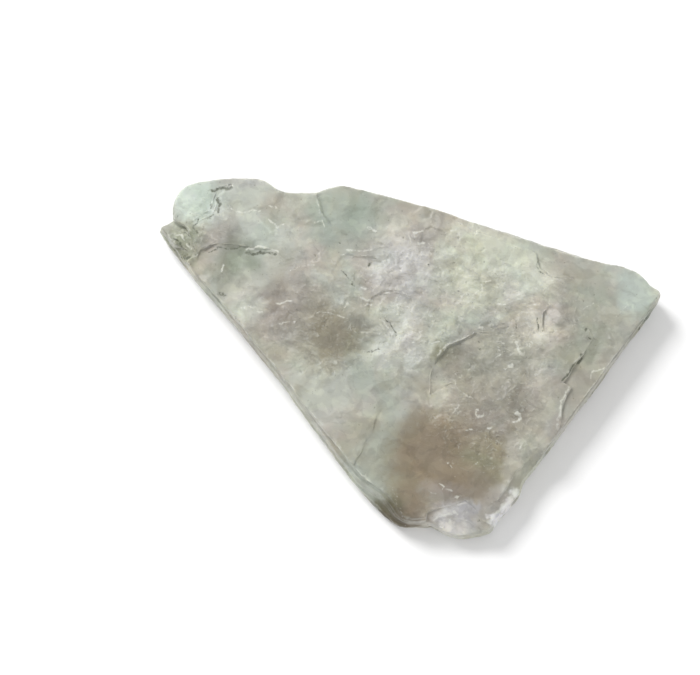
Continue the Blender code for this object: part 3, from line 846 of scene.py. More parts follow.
@dataclass(frozen=True)
class GypsumFinish:
    """Milky selenite: a pale grey-green body with soft tints, bruises and a patchy shine, with
    painted highlights on its rims and edges and painted shade in its hollows and under ledges.

    A scale counts a pattern's cells in a millimetre, and a strength is a share from 0 to 1. Heights
    in pairs are those of calm and of flaked stone.
    """

    cool: Colour = (0.41, 0.425, 0.375)
    warm: Colour = (0.41, 0.395, 0.335)
    pale: Colour = (0.60, 0.61, 0.54)
    # Pale of bruises, also used for painted highlights on rims and convex edges.
    bruise_and_highlight: Colour = (0.84, 0.85, 0.78)
    # Dark of specks, also used for painted shade in hollows.
    speck_and_shade_dark: Colour = (0.16, 0.155, 0.115)
    # Dark of cracks, also used for painted shadows under ledges and in pits.
    crack_and_shadow: Colour = (0.09, 0.10, 0.065)
    tints: tuple[Tint, ...] = STONE_TINTS
    wall_tints: tuple[Tint, ...] = WALL_TINTS
    mottles: tuple[Mottle, ...] = MOTTLES
    warp_scales: tuple[float, ...] = (0.08, 0.3, 1.0)
    warp_reaches: tuple[float, ...] = (11.0, 5.0, 1.6)
    wall_strength: float = 0.6
    small_sheets: ThinSheets = ThinSheets(-20.0, (0.16, 0.26, 0.2), 9.0)
    large_sheets: ThinSheets = ThinSheets(10.0, (0.05, 0.085, 0.07), 11.0)
    tone_spreads: tuple[float, ...] = (0.17, 0.11, 0.13)
    calm_tones: float = 0.4
    clear_tones: float = 0.6
    wisps: tuple[Wisps, ...] = (
        Wisps(-20.0, 0.22, 0.04),
        Wisps(15.0, 0.36, 0.055),
        Wisps(60.0, 0.28, 0.045),
    )
    wisp_strength: float = 0.55
    calm_flecks: float = 0.15
    bruise_strength: float = 0.34
    speck_strength: float = 0.55
    # Pale along convex edges: a painted highlight that also stands for bruised wear there.
    edge_highlight_strength: float = 0.45
    # How far concave places are darkened, as painted shade.
    hollow_shade_strength: float = 0.25
    # How strongly the rims are painted pale, as bruised lips and as highlights.
    rim_highlight_strength: float = 0.52
    crack_and_shadow_strength: float = 0.85
    roughness: float = 0.5
    shine_spread: float = 0.34
    bruised_roughness: float = 0.15
    clear_gloss: float = 0.12
    relief_strength: float = 0.8
    grain_heights: Limits = (0.03, 0.07)
    step_heights: Limits = (0.015, 0.075)
    fleck_height: float = 0.12
    ior: float = 1.52
    see_through: float = 0.2
    milk: float = 0.6
    milk_depth: float = 0.8
    milk_reach: Colour = (1.0, 0.95, 0.75)
    absorption_colour: Colour = (0.75, 0.72, 0.55)
    absorption: float = 40.0

    def build(self) -> bpy.types.Material:
        """Makes the material.

        Returns:
            The material.
        """
        material = bpy.data.materials.new("milky_gypsum")
        material.use_nodes = True
        tree = Tree(material.node_tree)
        stone = self.sockets(tree)
        shader = material.node_tree.nodes["Principled BSDF"]
        flecks = self.flecks(tree, stone)
        colour = self.toned(tree, stone, self.body_colour(tree, stone))
        colour = self.flecked(tree, stone, colour, flecks)
        tree.join(self.rims_cracks_and_painted_light(tree, stone, colour), shader.inputs["Base Color"])
        tree.join(self.shine(tree, stone, flecks), shader.inputs["Roughness"])
        tree.join(self.relief(tree, stone, flecks), shader.inputs["Normal"])
        settings = {
            "IOR": self.ior,
            "Metallic": 0.0,
            "Transmission Weight": self.see_through,
            "Subsurface Weight": self.milk,
            "Subsurface Radius": self.milk_reach,
            "Subsurface Scale": self.milk_depth * MM,
        }
        for name, value in settings.items():
            shader.inputs[name].default_value = value
        inside = tree.add("ShaderNodeVolumeAbsorption")
        inside.inputs["Color"].default_value = (*self.absorption_colour, 1.0)
        inside.inputs["Density"].default_value = self.absorption
        output = material.node_tree.nodes["Material Output"]
        tree.join(inside.outputs[0], output.inputs["Volume"])
        return material

    def sockets(self, tree: Tree) -> StoneSockets:
        """Adds the nodes that the other steps read.

        Args:
            tree: The material's nodes.

        Returns:
            Their sockets.
        """
        here = tree.add("ShaderNodeTexCoord").outputs["Object"]
        place = tree.vector("MULTIPLY", here, (1.0 / MM, 1.0 / MM, 1.0 / MM))
        sheets = thin_sheets_group()
        return StoneSockets(
            place=place,
            warped=self.warped(tree, place),
            flaked=self.mask(tree, "flaked"),
            clear=self.mask(tree, "clear"),
            small=self.sheets(tree, sheets, place, self.small_sheets),
            large=self.sheets(tree, sheets, place, self.large_sheets),
        )

    def sheets(
        self, tree: Tree, group: bpy.types.NodeTree, place: Socket, layer: ThinSheets
    ) -> bpy.types.Node:
        """Adds a layer of sheets that are too thin for the skin's mesh.

        Args:
            tree: The material's nodes.
            group: The group for thin sheets.
            place: Places on the stone.
            layer: The layer.

        Returns:
            The layer's node.
        """
        node = tree.add("ShaderNodeGroup", node_tree=group)
        tree.join(tree.turned(place, layer.turn, layer.scale), node.inputs["Place"])
        tree.join(layer.steps, node.inputs["Steps"])
        return node

    def mask(self, tree: Tree, name: str) -> Socket:
        """Reads one of the skin's own masks.

        Args:
            tree: The material's nodes.
            name: The attribute's name.

        Returns:
            The mask's socket.
        """
        return tree.add("ShaderNodeAttribute", attribute_name=name).outputs["Fac"]

    def warped(self, tree: Tree, place: Socket) -> Socket:
        """Moves places about, so that soft patches get ragged edges.

        Args:
            tree: The material's nodes.
            place: The places' socket.

        Returns:
            The moved places' socket.
        """
        moved = place
        for scale, reach in zip(self.warp_scales, self.warp_reaches):
            cloud = tree.noise(place, scale, detail=2.0).outputs["Color"]
            shift = tree.vector("SUBTRACT", cloud, (0.5, 0.5, 0.5))
            moved = tree.vector("ADD", moved, tree.vector("MULTIPLY", shift, (reach,) * 3))
        return moved

    def body_colour(self, tree: Tree, stone: StoneSockets) -> Socket:
        """Mixes the stone's clouds, tints and mottles.

        Args:
            tree: The material's nodes.
            stone: What is read from the stone.

        Returns:
            The colour's socket.
        """
        clouds = tree.noise(stone.place, 0.045, 5.0, 0.6, distortion=0.4).outputs["Fac"]
        colour = tree.mix(tree.ramp(clouds, 0.4, 0.6), self.cool, self.warm)
        flat = tree.vector("MULTIPLY", stone.warped, (1.0, 1.0, 0.0))
        patch = soft_patch_group()
        colour = self.tinted(tree, colour, flat, patch, self.tints)
        wall = tree.math("MULTIPLY", self.mask(tree, "wall"), self.wall_strength)
        colour = tree.mix(wall, colour, self.pale)
        colour = self.tinted(tree, colour, flat, patch, self.wall_tints)
        for mottle in self.mottles:
            moved = tree.vector("ADD", stone.place, (mottle.shift, -mottle.shift, 0.0))
            noise = tree.noise(moved, mottle.scale, 3.5, 0.5, distortion=0.6)
            noise.label = mottle.name
            share = tree.ramp(noise.outputs["Fac"], *mottle.limits)
            colour = tree.mix(share, colour, mottle.factor, "MULTIPLY")
        return colour

    def tinted(
        self,
        tree: Tree,
        colour: Socket,
        flat: Socket,
        patch: bpy.types.NodeTree,
        tints: tuple[Tint, ...],
    ) -> Socket:
        """Lays soft patches of colour over a colour.

        Args:
            tree: The material's nodes.
            colour: The colour under them.
            flat: Places on the stone, without their height.
            patch: The group that lays one patch.
            tints: The patches.

        Returns:
            The new colour's socket.
        """
        for tint in tints:
            node = tree.add("ShaderNodeGroup", node_tree=patch, label=tint.name)
            tree.join(flat, node.inputs["Place"])
            tree.join(colour, node.inputs["Under"])
            tree.join((*tint.centre, 0.0), node.inputs["Centre"])
            tree.join(tint.radius, node.inputs["Radius"])
            tree.join(tint.colour, node.inputs["Tint"])
            tree.join(tint.strength, node.inputs["Strength"])
            colour = node.outputs["Colour"]
        return colour

    def toned(self, tree: Tree, stone: StoneSockets, colour: Socket) -> Socket:
        """Gives each torn sheet a tone of its own.

        Args:
            tree: The material's nodes.
            stone: What is read from the stone.
            colour: The colour under them.

        Returns:
            The new colour's socket.
        """
        torn = tree.between(stone.flaked, self.calm_tones, 1.0)
        milky = tree.between(stone.clear, 1.0, self.clear_tones)
        reach = tree.math("MULTIPLY", torn, milky)
        tones = (self.mask(tree, "tone"), stone.small.outputs["Tone"], stone.large.outputs["Tone"])
        for tone, spread in zip(tones, self.tone_spreads):
            factor = tree.between(tone, 1.0 - 0.5 * spread, 1.0 + 0.5 * spread)
            colour = tree.mix(reach, colour, factor, "MULTIPLY")
        return colour

    def flecks(self, tree: Tree, stone: StoneSockets) -> Socket:
        """Works out where the stone is bruised: along wisps, and in clusters of small dots.

        Args:
            tree: The material's nodes.
            stone: What is read from the stone.

        Returns:
            The mask's socket.
        """
        group = wisp_group()
        lines: Socket | float = 0.0
        for wisps in self.wisps:
            node = tree.add("ShaderNodeGroup", node_tree=group)
            stretch = (0.7 * wisps.scale, 1.5 * wisps.scale, wisps.scale)
            tree.join(tree.turned(stone.place, wisps.turn, stretch), node.inputs["Place"])
            tree.join(wisps.width, node.inputs["Width"])
            lines = tree.math("MAXIMUM", lines, node.outputs["Mask"])
        clusters = tree.ramp(tree.noise(stone.place, 0.13, 2.0).outputs["Fac"], 0.48, 0.62)
        small = tree.noise(stone.place, 0.75, 2.0, 0.5, distortion=0.4).outputs["Fac"]
        dots = tree.math("MULTIPLY", tree.ramp(small, 0.62, 0.68), clusters)
        mask = tree.math("MAXIMUM", tree.math("MULTIPLY", lines, self.wisp_strength), dots)
        return tree.math("MULTIPLY", mask, tree.between(stone.flaked, self.calm_flecks, 1.0))

    def flecked(self, tree: Tree, stone: StoneSockets, colour: Socket, flecks: Socket) -> Socket:
        """Adds the pale of the bruises and small dark specks.

        Args:
            tree: The material's nodes.
            stone: What is read from the stone.
            colour: The colour under them.
            flecks: Where the stone is bruised.

        Returns:
            The new colour's socket.
        """
        pale = tree.math("MULTIPLY", flecks, self.bruise_strength)
        colour = tree.mix(pale, colour, self.bruise_and_highlight)
        specks = tree.ramp(tree.noise(stone.place, 1.1, 2.0, 0.5).outputs["Fac"], 0.68, 0.76)
        return tree.mix(tree.math("MULTIPLY", specks, self.speck_strength), colour, self.speck_and_shade_dark)

    def rims_cracks_and_painted_light(self, tree: Tree, stone: StoneSockets, colour: Socket) -> Socket:
        """Adds the pale rims of the ledges, partly as painted highlights, and the dark of hollows
        and cracks, where hollows and some ledge lines are painted shade.

        Args:
            tree: The material's nodes.
            stone: What is read from the stone.
            colour: The colour under them.

        Returns:
            The new colour's socket.
        """
        ragged = tree.noise(stone.place, 1.1, 3.0, 0.65).outputs["Fac"]
        sparse = tree.ramp(tree.noise(stone.place, 0.22, 2.0).outputs["Fac"], 0.42, 0.62)
        # Pale along convex edges, in sparse patches: painted highlight, partly bruised wear.
        edge = tree.math("MULTIPLY", self.mask(tree, "edge"), sparse)
        colour = tree.mix(tree.math("MULTIPLY", edge, self.edge_highlight_strength), colour, self.bruise_and_highlight)
        # Painted shade: concave places are darkened.
        hollow_shade = tree.math("MULTIPLY", self.mask(tree, "hollow_shade"), self.hollow_shade_strength)
        colour = tree.mix(hollow_shade, colour, self.speck_and_shade_dark)
        # Rims are painted pale as bruised lips and as highlights; the dark lines are cracks and
        # painted ledge shadows.
        lines = (
            ("rim", self.bruise_and_highlight, self.rim_highlight_strength),
            ("crack_and_shadow", self.crack_and_shadow, self.crack_and_shadow_strength),
        )
        for name, over, strength in lines:
            drawn = tree.math("MULTIPLY_ADD", ragged, 0.9, self.mask(tree, name))
            mask = tree.math("MULTIPLY", tree.ramp(drawn, 0.98, 1.34), strength)
            colour = tree.mix(mask, colour, over)
        return colour

    def shine(self, tree: Tree, stone: StoneSockets, flecks: Socket) -> Socket:
        """Works out the roughness, which is patchy, higher on bruises and lower where it is clear.

        Args:
            tree: The material's nodes.
            stone: What is read from the stone.
            flecks: Where the stone is bruised.

        Returns:
            The roughness's socket.
        """
        patches = tree.noise(stone.warped, 0.09, 4.0, 0.6).outputs["Fac"]
        half = 0.5 * self.shine_spread
        rough = tree.between(patches, self.roughness - half, self.roughness + half)
        rough = tree.math("ADD", rough, tree.math("MULTIPLY", flecks, self.bruised_roughness))
        return tree.math("MULTIPLY_ADD", stone.clear, -self.clear_gloss, rough, clamp=True)

    def relief(self, tree: Tree, stone: StoneSockets, flecks: Socket) -> Socket:
        """Makes the fine relief that is too small for the skin's mesh.

        Args:
            tree: The material's nodes.
            stone: What is read from the stone.
            flecks: Where the stone is bruised.

        Returns:
            The normal's socket.
        """
        grain = tree.noise(stone.place, 1.3, 4.0, 0.6).outputs["Fac"]
        grain = tree.math("MULTIPLY", grain, tree.between(stone.flaked, *self.grain_heights))
        steps = tree.between(stone.flaked, *self.step_heights)
        steps = tree.math("MULTIPLY", stone.small.outputs["Height"], steps)
        height = tree.math("ADD", grain, tree.math("MULTIPLY", flecks, self.fleck_height))
        bump = tree.add("ShaderNodeBump")
        bump.inputs["Strength"].default_value = self.relief_strength
        bump.inputs["Distance"].default_value = MM
        tree.join(tree.math("ADD", height, steps), bump.inputs["Height"])
        return bump.outputs["Normal"]


@dataclass(frozen=True)
class UpperFace:
    """The torn upper face, with its cleavage sheets, flake scars, cracks and rims.

    A step fades in between two limits, such as those of a height above the floor, or of a tilt,
    which is the upright part of the surface's normal.
    """

    top: float = TOP
    height: Limits = (1.5, 3.5)
    tilt: Limits = (0.35, 0.8)
    sheets: tuple[Sheets, ...] = (
        Sheets((16.0, 9.0), -12.0, 7.0, 0.17, 3),
        Sheets((9.0, 5.0), 18.0, 6.0, 0.11, 5),
        Sheets((4.5, 2.8), 52.0, 4.0, 0.07, 8),
    )
    calm_share: float = 0.15
    toned_sheets: int = 2
    tone_contrast: float = 1.7
    scars: int = 520
    scar_seed: int = 11
    scar_area: tuple[Place, Place] = ((-70.0, -50.0), (70.0, 52.0))
    scar_turns: tuple[float, ...] = (110.0, 135.0, 160.0, -48.0)
    scar_turn_spread: float = 22.0
    scar_depths: Limits = (0.12, 0.32)
    scar_wobble: Wobble = Wobble(21, 3.0, 2.6)
    mark_wobble: Wobble = Wobble(31, 1.0, 2.0)
    mark_limits: Limits = (0.3, 0.8)

    def raised(self, places: np.ndarray) -> np.ndarray:
        """Works out how far points stand clear of the floor.

        Args:
            places: The points' places in millimetres.

        Returns:
            A share for each point.
        """
        return smooth_step(*self.height, places[:, 2])

    def share(self, places: np.ndarray, normals: np.ndarray) -> np.ndarray:
        """Works out how far points belong to the upper face.

        Args:
            places: The points' places in millimetres.
            normals: Their normals.

        Returns:
            A share for each point.
        """
        return smooth_step(*self.tilt, normals[:, 2]) * self.raised(places)

    def tear(self, places: np.ndarray, normals: np.ndarray) -> np.ndarray:
        """Raises the torn sheets, and cuts the scars, cracks and rims.

        Args:
            places: The points' places in millimetres.
            normals: Their normals.

        Returns:
            The points' new places.
        """
        flaked = self.calm_share + (1.0 - self.calm_share) * spots_at(FLAKED_FIELDS, places)
        lift = -self.scar_depth(places)
        for sheets in self.sheets:
            lift += self.sheet_levels(sheets, places)[0] * flaked
        for stroke, marks in MARKS.items():
            drawn = smooth_step(*self.mark_limits, self.mark_strength(marks, places))
            lift += stroke.value * drawn
        torn = places.copy()
        lift *= self.share(places, normals)
        torn[:, 2] = np.clip(places[:, 2] + lift, 0.0, self.top)
        return torn

    def sheet_levels(self, sheets: Sheets, places: np.ndarray) -> tuple[np.ndarray, np.ndarray]:
        """Works out the steps of torn sheets.

        Args:
            sheets: The sheets.
            places: Places in millimetres.

        Returns:
            The steps' height in millimetres, and each sheet's own tone from 0 to 1.
        """
        grain = Grain(sheets.seed)
        turn = math.radians(sheets.turn)
        along = (places[:, 0] * math.cos(turn) + places[:, 1] * math.sin(turn)) / sheets.size[0]
        across = (places[:, 1] * math.cos(turn) - places[:, 0] * math.sin(turn)) / sheets.size[1]
        rolling = grain.layered(along + 50.0, across + 50.0, sheets.layers) * sheets.steps
        fine = places[:, :2] / np.array(sheets.ragged_cell)
        rolling += sheets.ragged * (grain.layered(fine[:, 0], fine[:, 1], 2) - 0.5)
        level = np.round(rolling)
        past = rolling - level
        broad = places[:, :2] / sheets.fading_cell
        faded = smooth_step(*sheets.fading, grain.soft(broad[:, 0] + 90.0, broad[:, 1]))
        edge = sheets.edge + sheets.soft_edge * faded
        lower = 0.5 * (1.0 - smooth_step(-0.5, -0.5 + edge, past))
        upper = 0.5 * smooth_step(0.5 - edge, 0.5, past)
        height = (level - lower + upper - 0.5 * sheets.steps) * sheets.step_height
        tone = (np.sin(level * 12.9898 + sheets.seed * 4.1) * 43758.5453) % 1.0
        return height, tone

    def sheet_tone(self, places: np.ndarray, normals: np.ndarray) -> np.ndarray:
        """Works out how light or dark the coarser sheets are.

        Args:
            places: The points' places in millimetres.
            normals: Their normals.

        Returns:
            A tone from 0 to 1 for each point, 0.5 off the upper face.
        """
        toned = self.sheets[: self.toned_sheets]
        tones = [self.sheet_levels(sheets, places)[1] for sheets in toned]
        spread = np.clip(self.tone_contrast * (np.mean(tones, axis=0) - 0.5), -0.5, 0.5)
        return 0.5 + spread * self.share(places, normals)

    def scar_depth(self, places: np.ndarray) -> np.ndarray:
        """Works out the depth of the small flake scars.

        Each scar is steep at one side and runs out at the other.

        Args:
            places: Places in millimetres.

        Returns:
            A depth in millimetres for each place.
        """
        draw = np.random.RandomState(self.scar_seed)
        depth = np.zeros(len(places))
        bent = self.scar_wobble.bend(places)
        centres = draw.uniform(*self.scar_area, (self.scars, 2))
        chances = spots_at(FLAKED_FIELDS, centres)
        for centre, chance in zip(centres, chances):
            length = 0.7 + 2.8 * draw.rand() ** 2.5
            width = length * draw.uniform(0.4, 1.0)
            deepest = draw.uniform(*self.scar_depths)
            middle_turn = draw.choice(self.scar_turns)
            turn = math.radians(middle_turn + draw.normal(0.0, self.scar_turn_spread))
            if draw.rand() > chance:
                continue
            near = (np.abs(bent - centre) < length).all(axis=1)
            away = bent[near] - centre
            along = (away[:, 0] * math.cos(turn) + away[:, 1] * math.sin(turn)) / length
            aside = (away[:, 1] * math.cos(turn) - away[:, 0] * math.sin(turn)) / width
            inside = 1.0 - smooth_step(0.86, 1.0, np.hypot(along, aside))
            depth[near] = np.maximum(depth[near], inside * deepest * 0.5 * (1.0 - along))
        return depth

    def mark_strength(self, marks: tuple[Mark, ...], places: np.ndarray) -> np.ndarray:
        """Works out how near some marks are.

        Args:
            marks: The marks.
            places: Places in millimetres.

        Returns:
            A share for each place, about 0.6 or more on a mark.
        """
        bent = self.mark_wobble.bend(places)
        share = np.zeros(len(places))
        for mark in marks:
            reach = 3.0 * mark.width
            most = 0.55 + 0.45 * mark.strength
            for start, end in zip(mark.path[:-1], mark.path[1:]):
                first, last = np.array(start), np.array(end)
                low = np.minimum(first, last) - reach
                high = np.maximum(first, last) + reach
                near = ((bent > low) & (bent < high)).all(axis=1)
                if not near.any():
                    LOG.warning("%s lies off the stone", mark.name)
                away = bent[near] - first
                span = last - first
                part = np.clip(away @ span / (span @ span), 0.0, 1.0)
                distance = np.linalg.norm(away - part[:, None] * span, axis=1)
                held = np.clip(1.0 - distance / reach, 0.0, 1.0)
                share[near] = np.maximum(share[near], held * most)
        return share


@dataclass(frozen=True)
class LedgeEnds:
    """The stretches on which a ledge of the upper face runs out into a soft slope."""

    spots: tuple[Spot, ...] = FADED_LEDGES
    top: float = TOP
    lowest_top: float = 4.5
    cell: float = 0.5
    width: float = 1.8
    cover: Limits = (0.5, 0.8)
    beside_rounds: int = 2
    below_top: float = 0.4

    def fade(self, places: np.ndarray) -> np.ndarray:
        """Moves points up or down to a blurred upper face.

        Args:
            places: The points' places in millimetres.

        Returns:
            The points' new places.
        """
        low = places[:, :2].min(axis=0) - 4.0 * self.cell
        across = (places[:, :2] - low) / self.cell
        column = np.round(across).astype(int)
        here = (column[:, 0], column[:, 1])
        tops = np.zeros(column.max(axis=0) + 5)
        np.maximum.at(tops, here, places[:, 2])
        inside = (tops > self.lowest_top).astype(float)
        covered = self.blurred(inside)
        soft = self.blurred(tops * inside) / np.maximum(covered, 0.001)
        lowest = np.where(inside > 0.5, tops, self.top)
        for axis in (0, 1):
            for _ in range(self.beside_rounds):
                beside = np.minimum(np.roll(lowest, 1, axis), np.roll(lowest, -1, axis))
                lowest = np.minimum(lowest, beside)
        eased = self.between(soft, across)
        share = spots_at(self.spots, places)
        share *= smooth_step(*self.cover, self.between(covered, across))
        scaled = places[:, 2] * eased / np.maximum(tops[here], 1.0)
        on_face = places[:, 2] > lowest[here] - self.below_top
        faded = places.copy()
        faded[:, 2] += share * (np.where(on_face, eased, scaled) - places[:, 2])
        return faded

    def between(self, grid: np.ndarray, across: np.ndarray) -> np.ndarray:
        """Reads a grid between its cells.

        Args:
            grid: The grid.
            across: Places in cells.

        Returns:
            The grid's value at each place.
        """
        first = np.floor(across).astype(int)
        part = across - first
        total = np.zeros(len(across))
        for step_x in (0, 1):
            for step_y in (0, 1):
                weight = np.abs(1 - step_x - part[:, 0]) * np.abs(1 - step_y - part[:, 1])
                total += weight * grid[first[:, 0] + step_x, first[:, 1] + step_y]
        return total

    def blurred(self, heights: np.ndarray) -> np.ndarray:
        """Blurs a grid of heights.

        Args:
            heights: The grid.

        Returns:
            The blurred grid.
        """
        spread = self.width / self.cell
        reach = int(3.0 * spread)
        weights = np.exp(-0.5 * (np.arange(-reach, reach + 1) / spread) ** 2)
        weights /= weights.sum()
        result = np.pad(heights, reach)
        for axis in (0, 1):
            result = np.apply_along_axis(np.convolve, axis, result, weights, "same")
        return result[reach:-reach, reach:-reach]


@dataclass(frozen=True)
class SideWalls:
    """The plate's walls, with the upright left one and the bevel beside the lower lobe."""

    tilt: Limits = (0.75, 0.4)
    height: Limits = (0.3, 1.5)
    left_edge: tuple[Place, Place] = ((-73.0, 29.0), (-12.0, -44.0))
    left_reach: float = 1.3
    left_height: Limits = (0.5, 10.0)
    left_inset: Limits = (11.0, 2.0)
    left_ends: tuple[float, float] = (12.0, 8.0)
    bevel: Spot = Spot((26.0, -45.0), 11.0)
    bevel_side: Place = (0.72, -0.69)
    bevel_reach: float = 1.7
    bevel_height: Limits = (7.0, 12.0)
    bevel_lean: float = 0.6
    bevel_facing: Limits = (0.2, 0.8)

    def share(self, normals: np.ndarray) -> np.ndarray:
        """Works out how far points belong to the walls.

        Args:
            normals: The points' normals.

        Returns:
            A share for each point.
        """
        return smooth_step(*self.tilt, np.abs(normals[:, 2]))

    def off_floor(self, places: np.ndarray) -> np.ndarray:
        """Works out how far points are clear of the edge that the plate rests on.

        Args:
            places: The points' places in millimetres.

        Returns:
            A share for each point.
        """
        return smooth_step(*self.height, places[:, 2])

    def steepen_left(self, places: np.ndarray) -> np.ndarray:
        """Moves the left wall's upper edge outwards, which makes the wall stand more upright.

        Args:
            places: The points' places in millimetres.

        Returns:
            The points' new places.
        """
        start, end = np.array(self.left_edge[0]), np.array(self.left_edge[1])
        length = np.linalg.norm(end - start)
        along = (end - start) / length
        outwards = np.array((along[1], -along[0]))
        away = places[:, :2] - start
        ahead = away @ along
        share = smooth_step(*self.left_height, places[:, 2])
        share *= smooth_step(*self.left_inset, -(away @ outwards))
        share *= smooth_step(0.0, self.left_ends[0], ahead)
        share *= smooth_step(length, length - self.left_ends[1], ahead)
        moved = places.copy()
        moved[:, :2] += (self.left_reach * share)[:, None] * outwards
        return moved

    def slope_bevel(self, places: np.ndarray, normals: np.ndarray) -> np.ndarray:
        """Moves the right wall's foot outwards beside the lobe, which leaves a sloping face.

        Args:
            places: The points' places in millimetres.
            normals: Their normals.

        Returns:
            The points' new places.
        """
        side = np.array(self.bevel_side)
        share = spots_at((self.bevel,), places)
        share *= 1.0 - self.bevel_lean * smooth_step(*self.bevel_height, places[:, 2])
        share *= smooth_step(*self.bevel_facing, normals[:, :2] @ side)
        moved = places.copy()
        moved[:, :2] += (self.bevel_reach * share)[:, None] * side
        return moved


@dataclass
class GypsumPlate:
    """The stone: one fine skin made from a copy of the plate's solid."""

    node: str = "gypsum_plate"
    face: UpperFace = UpperFace()
    ledge_ends: LedgeEnds = LedgeEnds()
    walls: SideWalls = SideWalls()
    merge_distance: float = 0.001
    ledge_angle: float = 32.0
    ledge_crease: float = 0.9
    rounds: int = 2
    voxel: float = 0.33
    most_triangles: int = 196000
    smooth_angle: float = 50.0
    group_steps: int = 20
    corner_rounds: int = 90
    ledge_rounds: int = 8
    waves: tuple[Waves, ...] = (
        Waves("broad_waves", Reach.UPPER_FACE, True, 0.5, (16.0, 10.0, 10.0), -20.0),
        Waves("laminae", Reach.WALLS, False, 0.6, (14.0, 14.0, 0.9)),
        Waves("wall_chips", Reach.WALLS, False, 0.45, (3.0, 3.0, 2.0), 0.0, 3),
    )
    bulge_rings: int = 3
    bulge_limits: Limits = (0.03, 0.16)

    def build(self) -> bpy.types.Object:
        """Makes the skin from the solid.

        Returns:
            The skin.
        """
        skin = self.copy_solid()
        self.round_faces(skin)
        self.make_fine(skin)
        self.mark_reaches(skin)
        self.relax(skin, Reach.CORNERS, self.corner_rounds, upright=False)
        self.move_points(skin, self.ledge_ends.fade(self.points(skin)[0]))
        self.relax(skin, Reach.FADED, self.ledge_rounds, upright=True)
        self.move_points(skin, self.walls.steepen_left(self.points(skin)[0]))
        self.move_points(skin, self.walls.slope_bevel(*self.points(skin)))
        for waves in self.waves:
            self.push_about(skin, waves)
        self.move_points(skin, self.face.tear(*self.points(skin)))
        self.thin_out(skin)
        self.store_masks(skin)
        return skin

    def copy_solid(self) -> bpy.types.Object:
        """Copies the solid and merges its loose triangles.

        Returns:
            The copy.
        """
        solid = bpy.data.objects[self.node]
        select_only(solid)
        bpy.ops.object.duplicate()
        skin = bpy.context.active_object
        skin.name = "gypsum_stone"
        skin.data.name = "gypsum_stone"
        skin.parent = None
        for key in list(skin.keys()):
            del skin[key]
        skin.data.materials.clear()
        bpy.ops.object.mode_set(mode="EDIT")
        bpy.ops.mesh.select_all(action="SELECT")
        bpy.ops.mesh.remove_doubles(threshold=self.merge_distance * MM)
        bpy.ops.object.mode_set(mode="OBJECT")
        return skin

    def round_faces(self, skin: bpy.types.Object) -> None:
        """Rounds the facets between the ledges, and keeps the ledges themselves sharp.

        Args:
            skin: The skin.
        """
        select_only(skin)
        bpy.ops.object.mode_set(mode="EDIT")
        bpy.ops.mesh.select_all(action="DESELECT")
        bpy.ops.mesh.select_mode(type="EDGE")
        bpy.ops.mesh.edges_select_sharp(sharpness=math.radians(self.ledge_angle))
        bpy.ops.transform.edge_crease(value=self.ledge_crease)
        bpy.ops.object.mode_set(mode="OBJECT")
        rounding = skin.modifiers.new("rounding", "SUBSURF")
        rounding.levels = self.rounds
        rounding.render_levels = self.rounds
        bpy.ops.object.modifier_apply(modifier=rounding.name)

    def make_fine(self, skin: bpy.types.Object) -> None:
        """Rebuilds the skin as an even, fine mesh.

        Args:
            skin: The skin.
        """
        select_only(skin)
        remesh = skin.modifiers.new("fine", "REMESH")
        remesh.mode = "VOXEL"
        remesh.voxel_size = self.voxel * MM
        bpy.ops.object.modifier_apply(modifier=remesh.name)

    def points(self, skin: bpy.types.Object) -> tuple[np.ndarray, np.ndarray]:
        """Reads the skin's points.

        Args:
            skin: The skin.

        Returns:
            Their places in millimetres, and their normals.
        """
        count = len(skin.data.vertices)
        places = np.empty(count * 3)
        normals = np.empty(count * 3)
        skin.data.vertices.foreach_get("co", places)
        skin.data.vertices.foreach_get("normal", normals)
        return places.reshape(-1, 3) / MM, normals.reshape(-1, 3)

    def move_points(self, skin: bpy.types.Object, places: np.ndarray) -> None:
        """Moves the skin's points.

        Args:
            skin: The skin.
            places: Their new places in millimetres.
        """
        skin.data.vertices.foreach_set("co", (places * MM).ravel())
        skin.data.update()

    def mark_reaches(self, skin: bpy.types.Object) -> None:
        """Makes a vertex group for each part of the skin that a step works on.

        Args:
            skin: The skin.
        """
        places, normals = self.points(skin)
        weights = {
            Reach.UPPER_FACE: self.face.share(places, normals),
            Reach.WALLS: self.walls.share(normals) * self.walls.off_floor(places),
            Reach.FADED: spots_at(self.ledge_ends.spots, places) * self.face.raised(places),
            Reach.CORNERS: spots_at(ROUNDED_CORNERS, places),
        }
        for reach, weight in weights.items():
            group = skin.vertex_groups.new(name=reach.value)
            steps = np.round(weight * self.group_steps).astype(int)
            for step in range(1, self.group_steps + 1):
                members = np.nonzero(steps == step)[0]
                if len(members):
                    group.add(members.tolist(), step / self.group_steps, "REPLACE")

    def relax(self, skin: bpy.types.Object, reach: Reach, rounds: int, upright: bool) -> None:
        """Smooths a part of the skin.

        Args:
            skin: The skin.
            reach: The part.
            rounds: How many times it is smoothed.
            upright: Whether points also move up and down.
        """
        select_only(skin)
        easing = skin.modifiers.new("easing", "SMOOTH")
        easing.factor = 0.5
        easing.iterations = rounds
        easing.use_z = upright
        easing.vertex_group = reach.value
        bpy.ops.object.modifier_apply(modifier=easing.name)

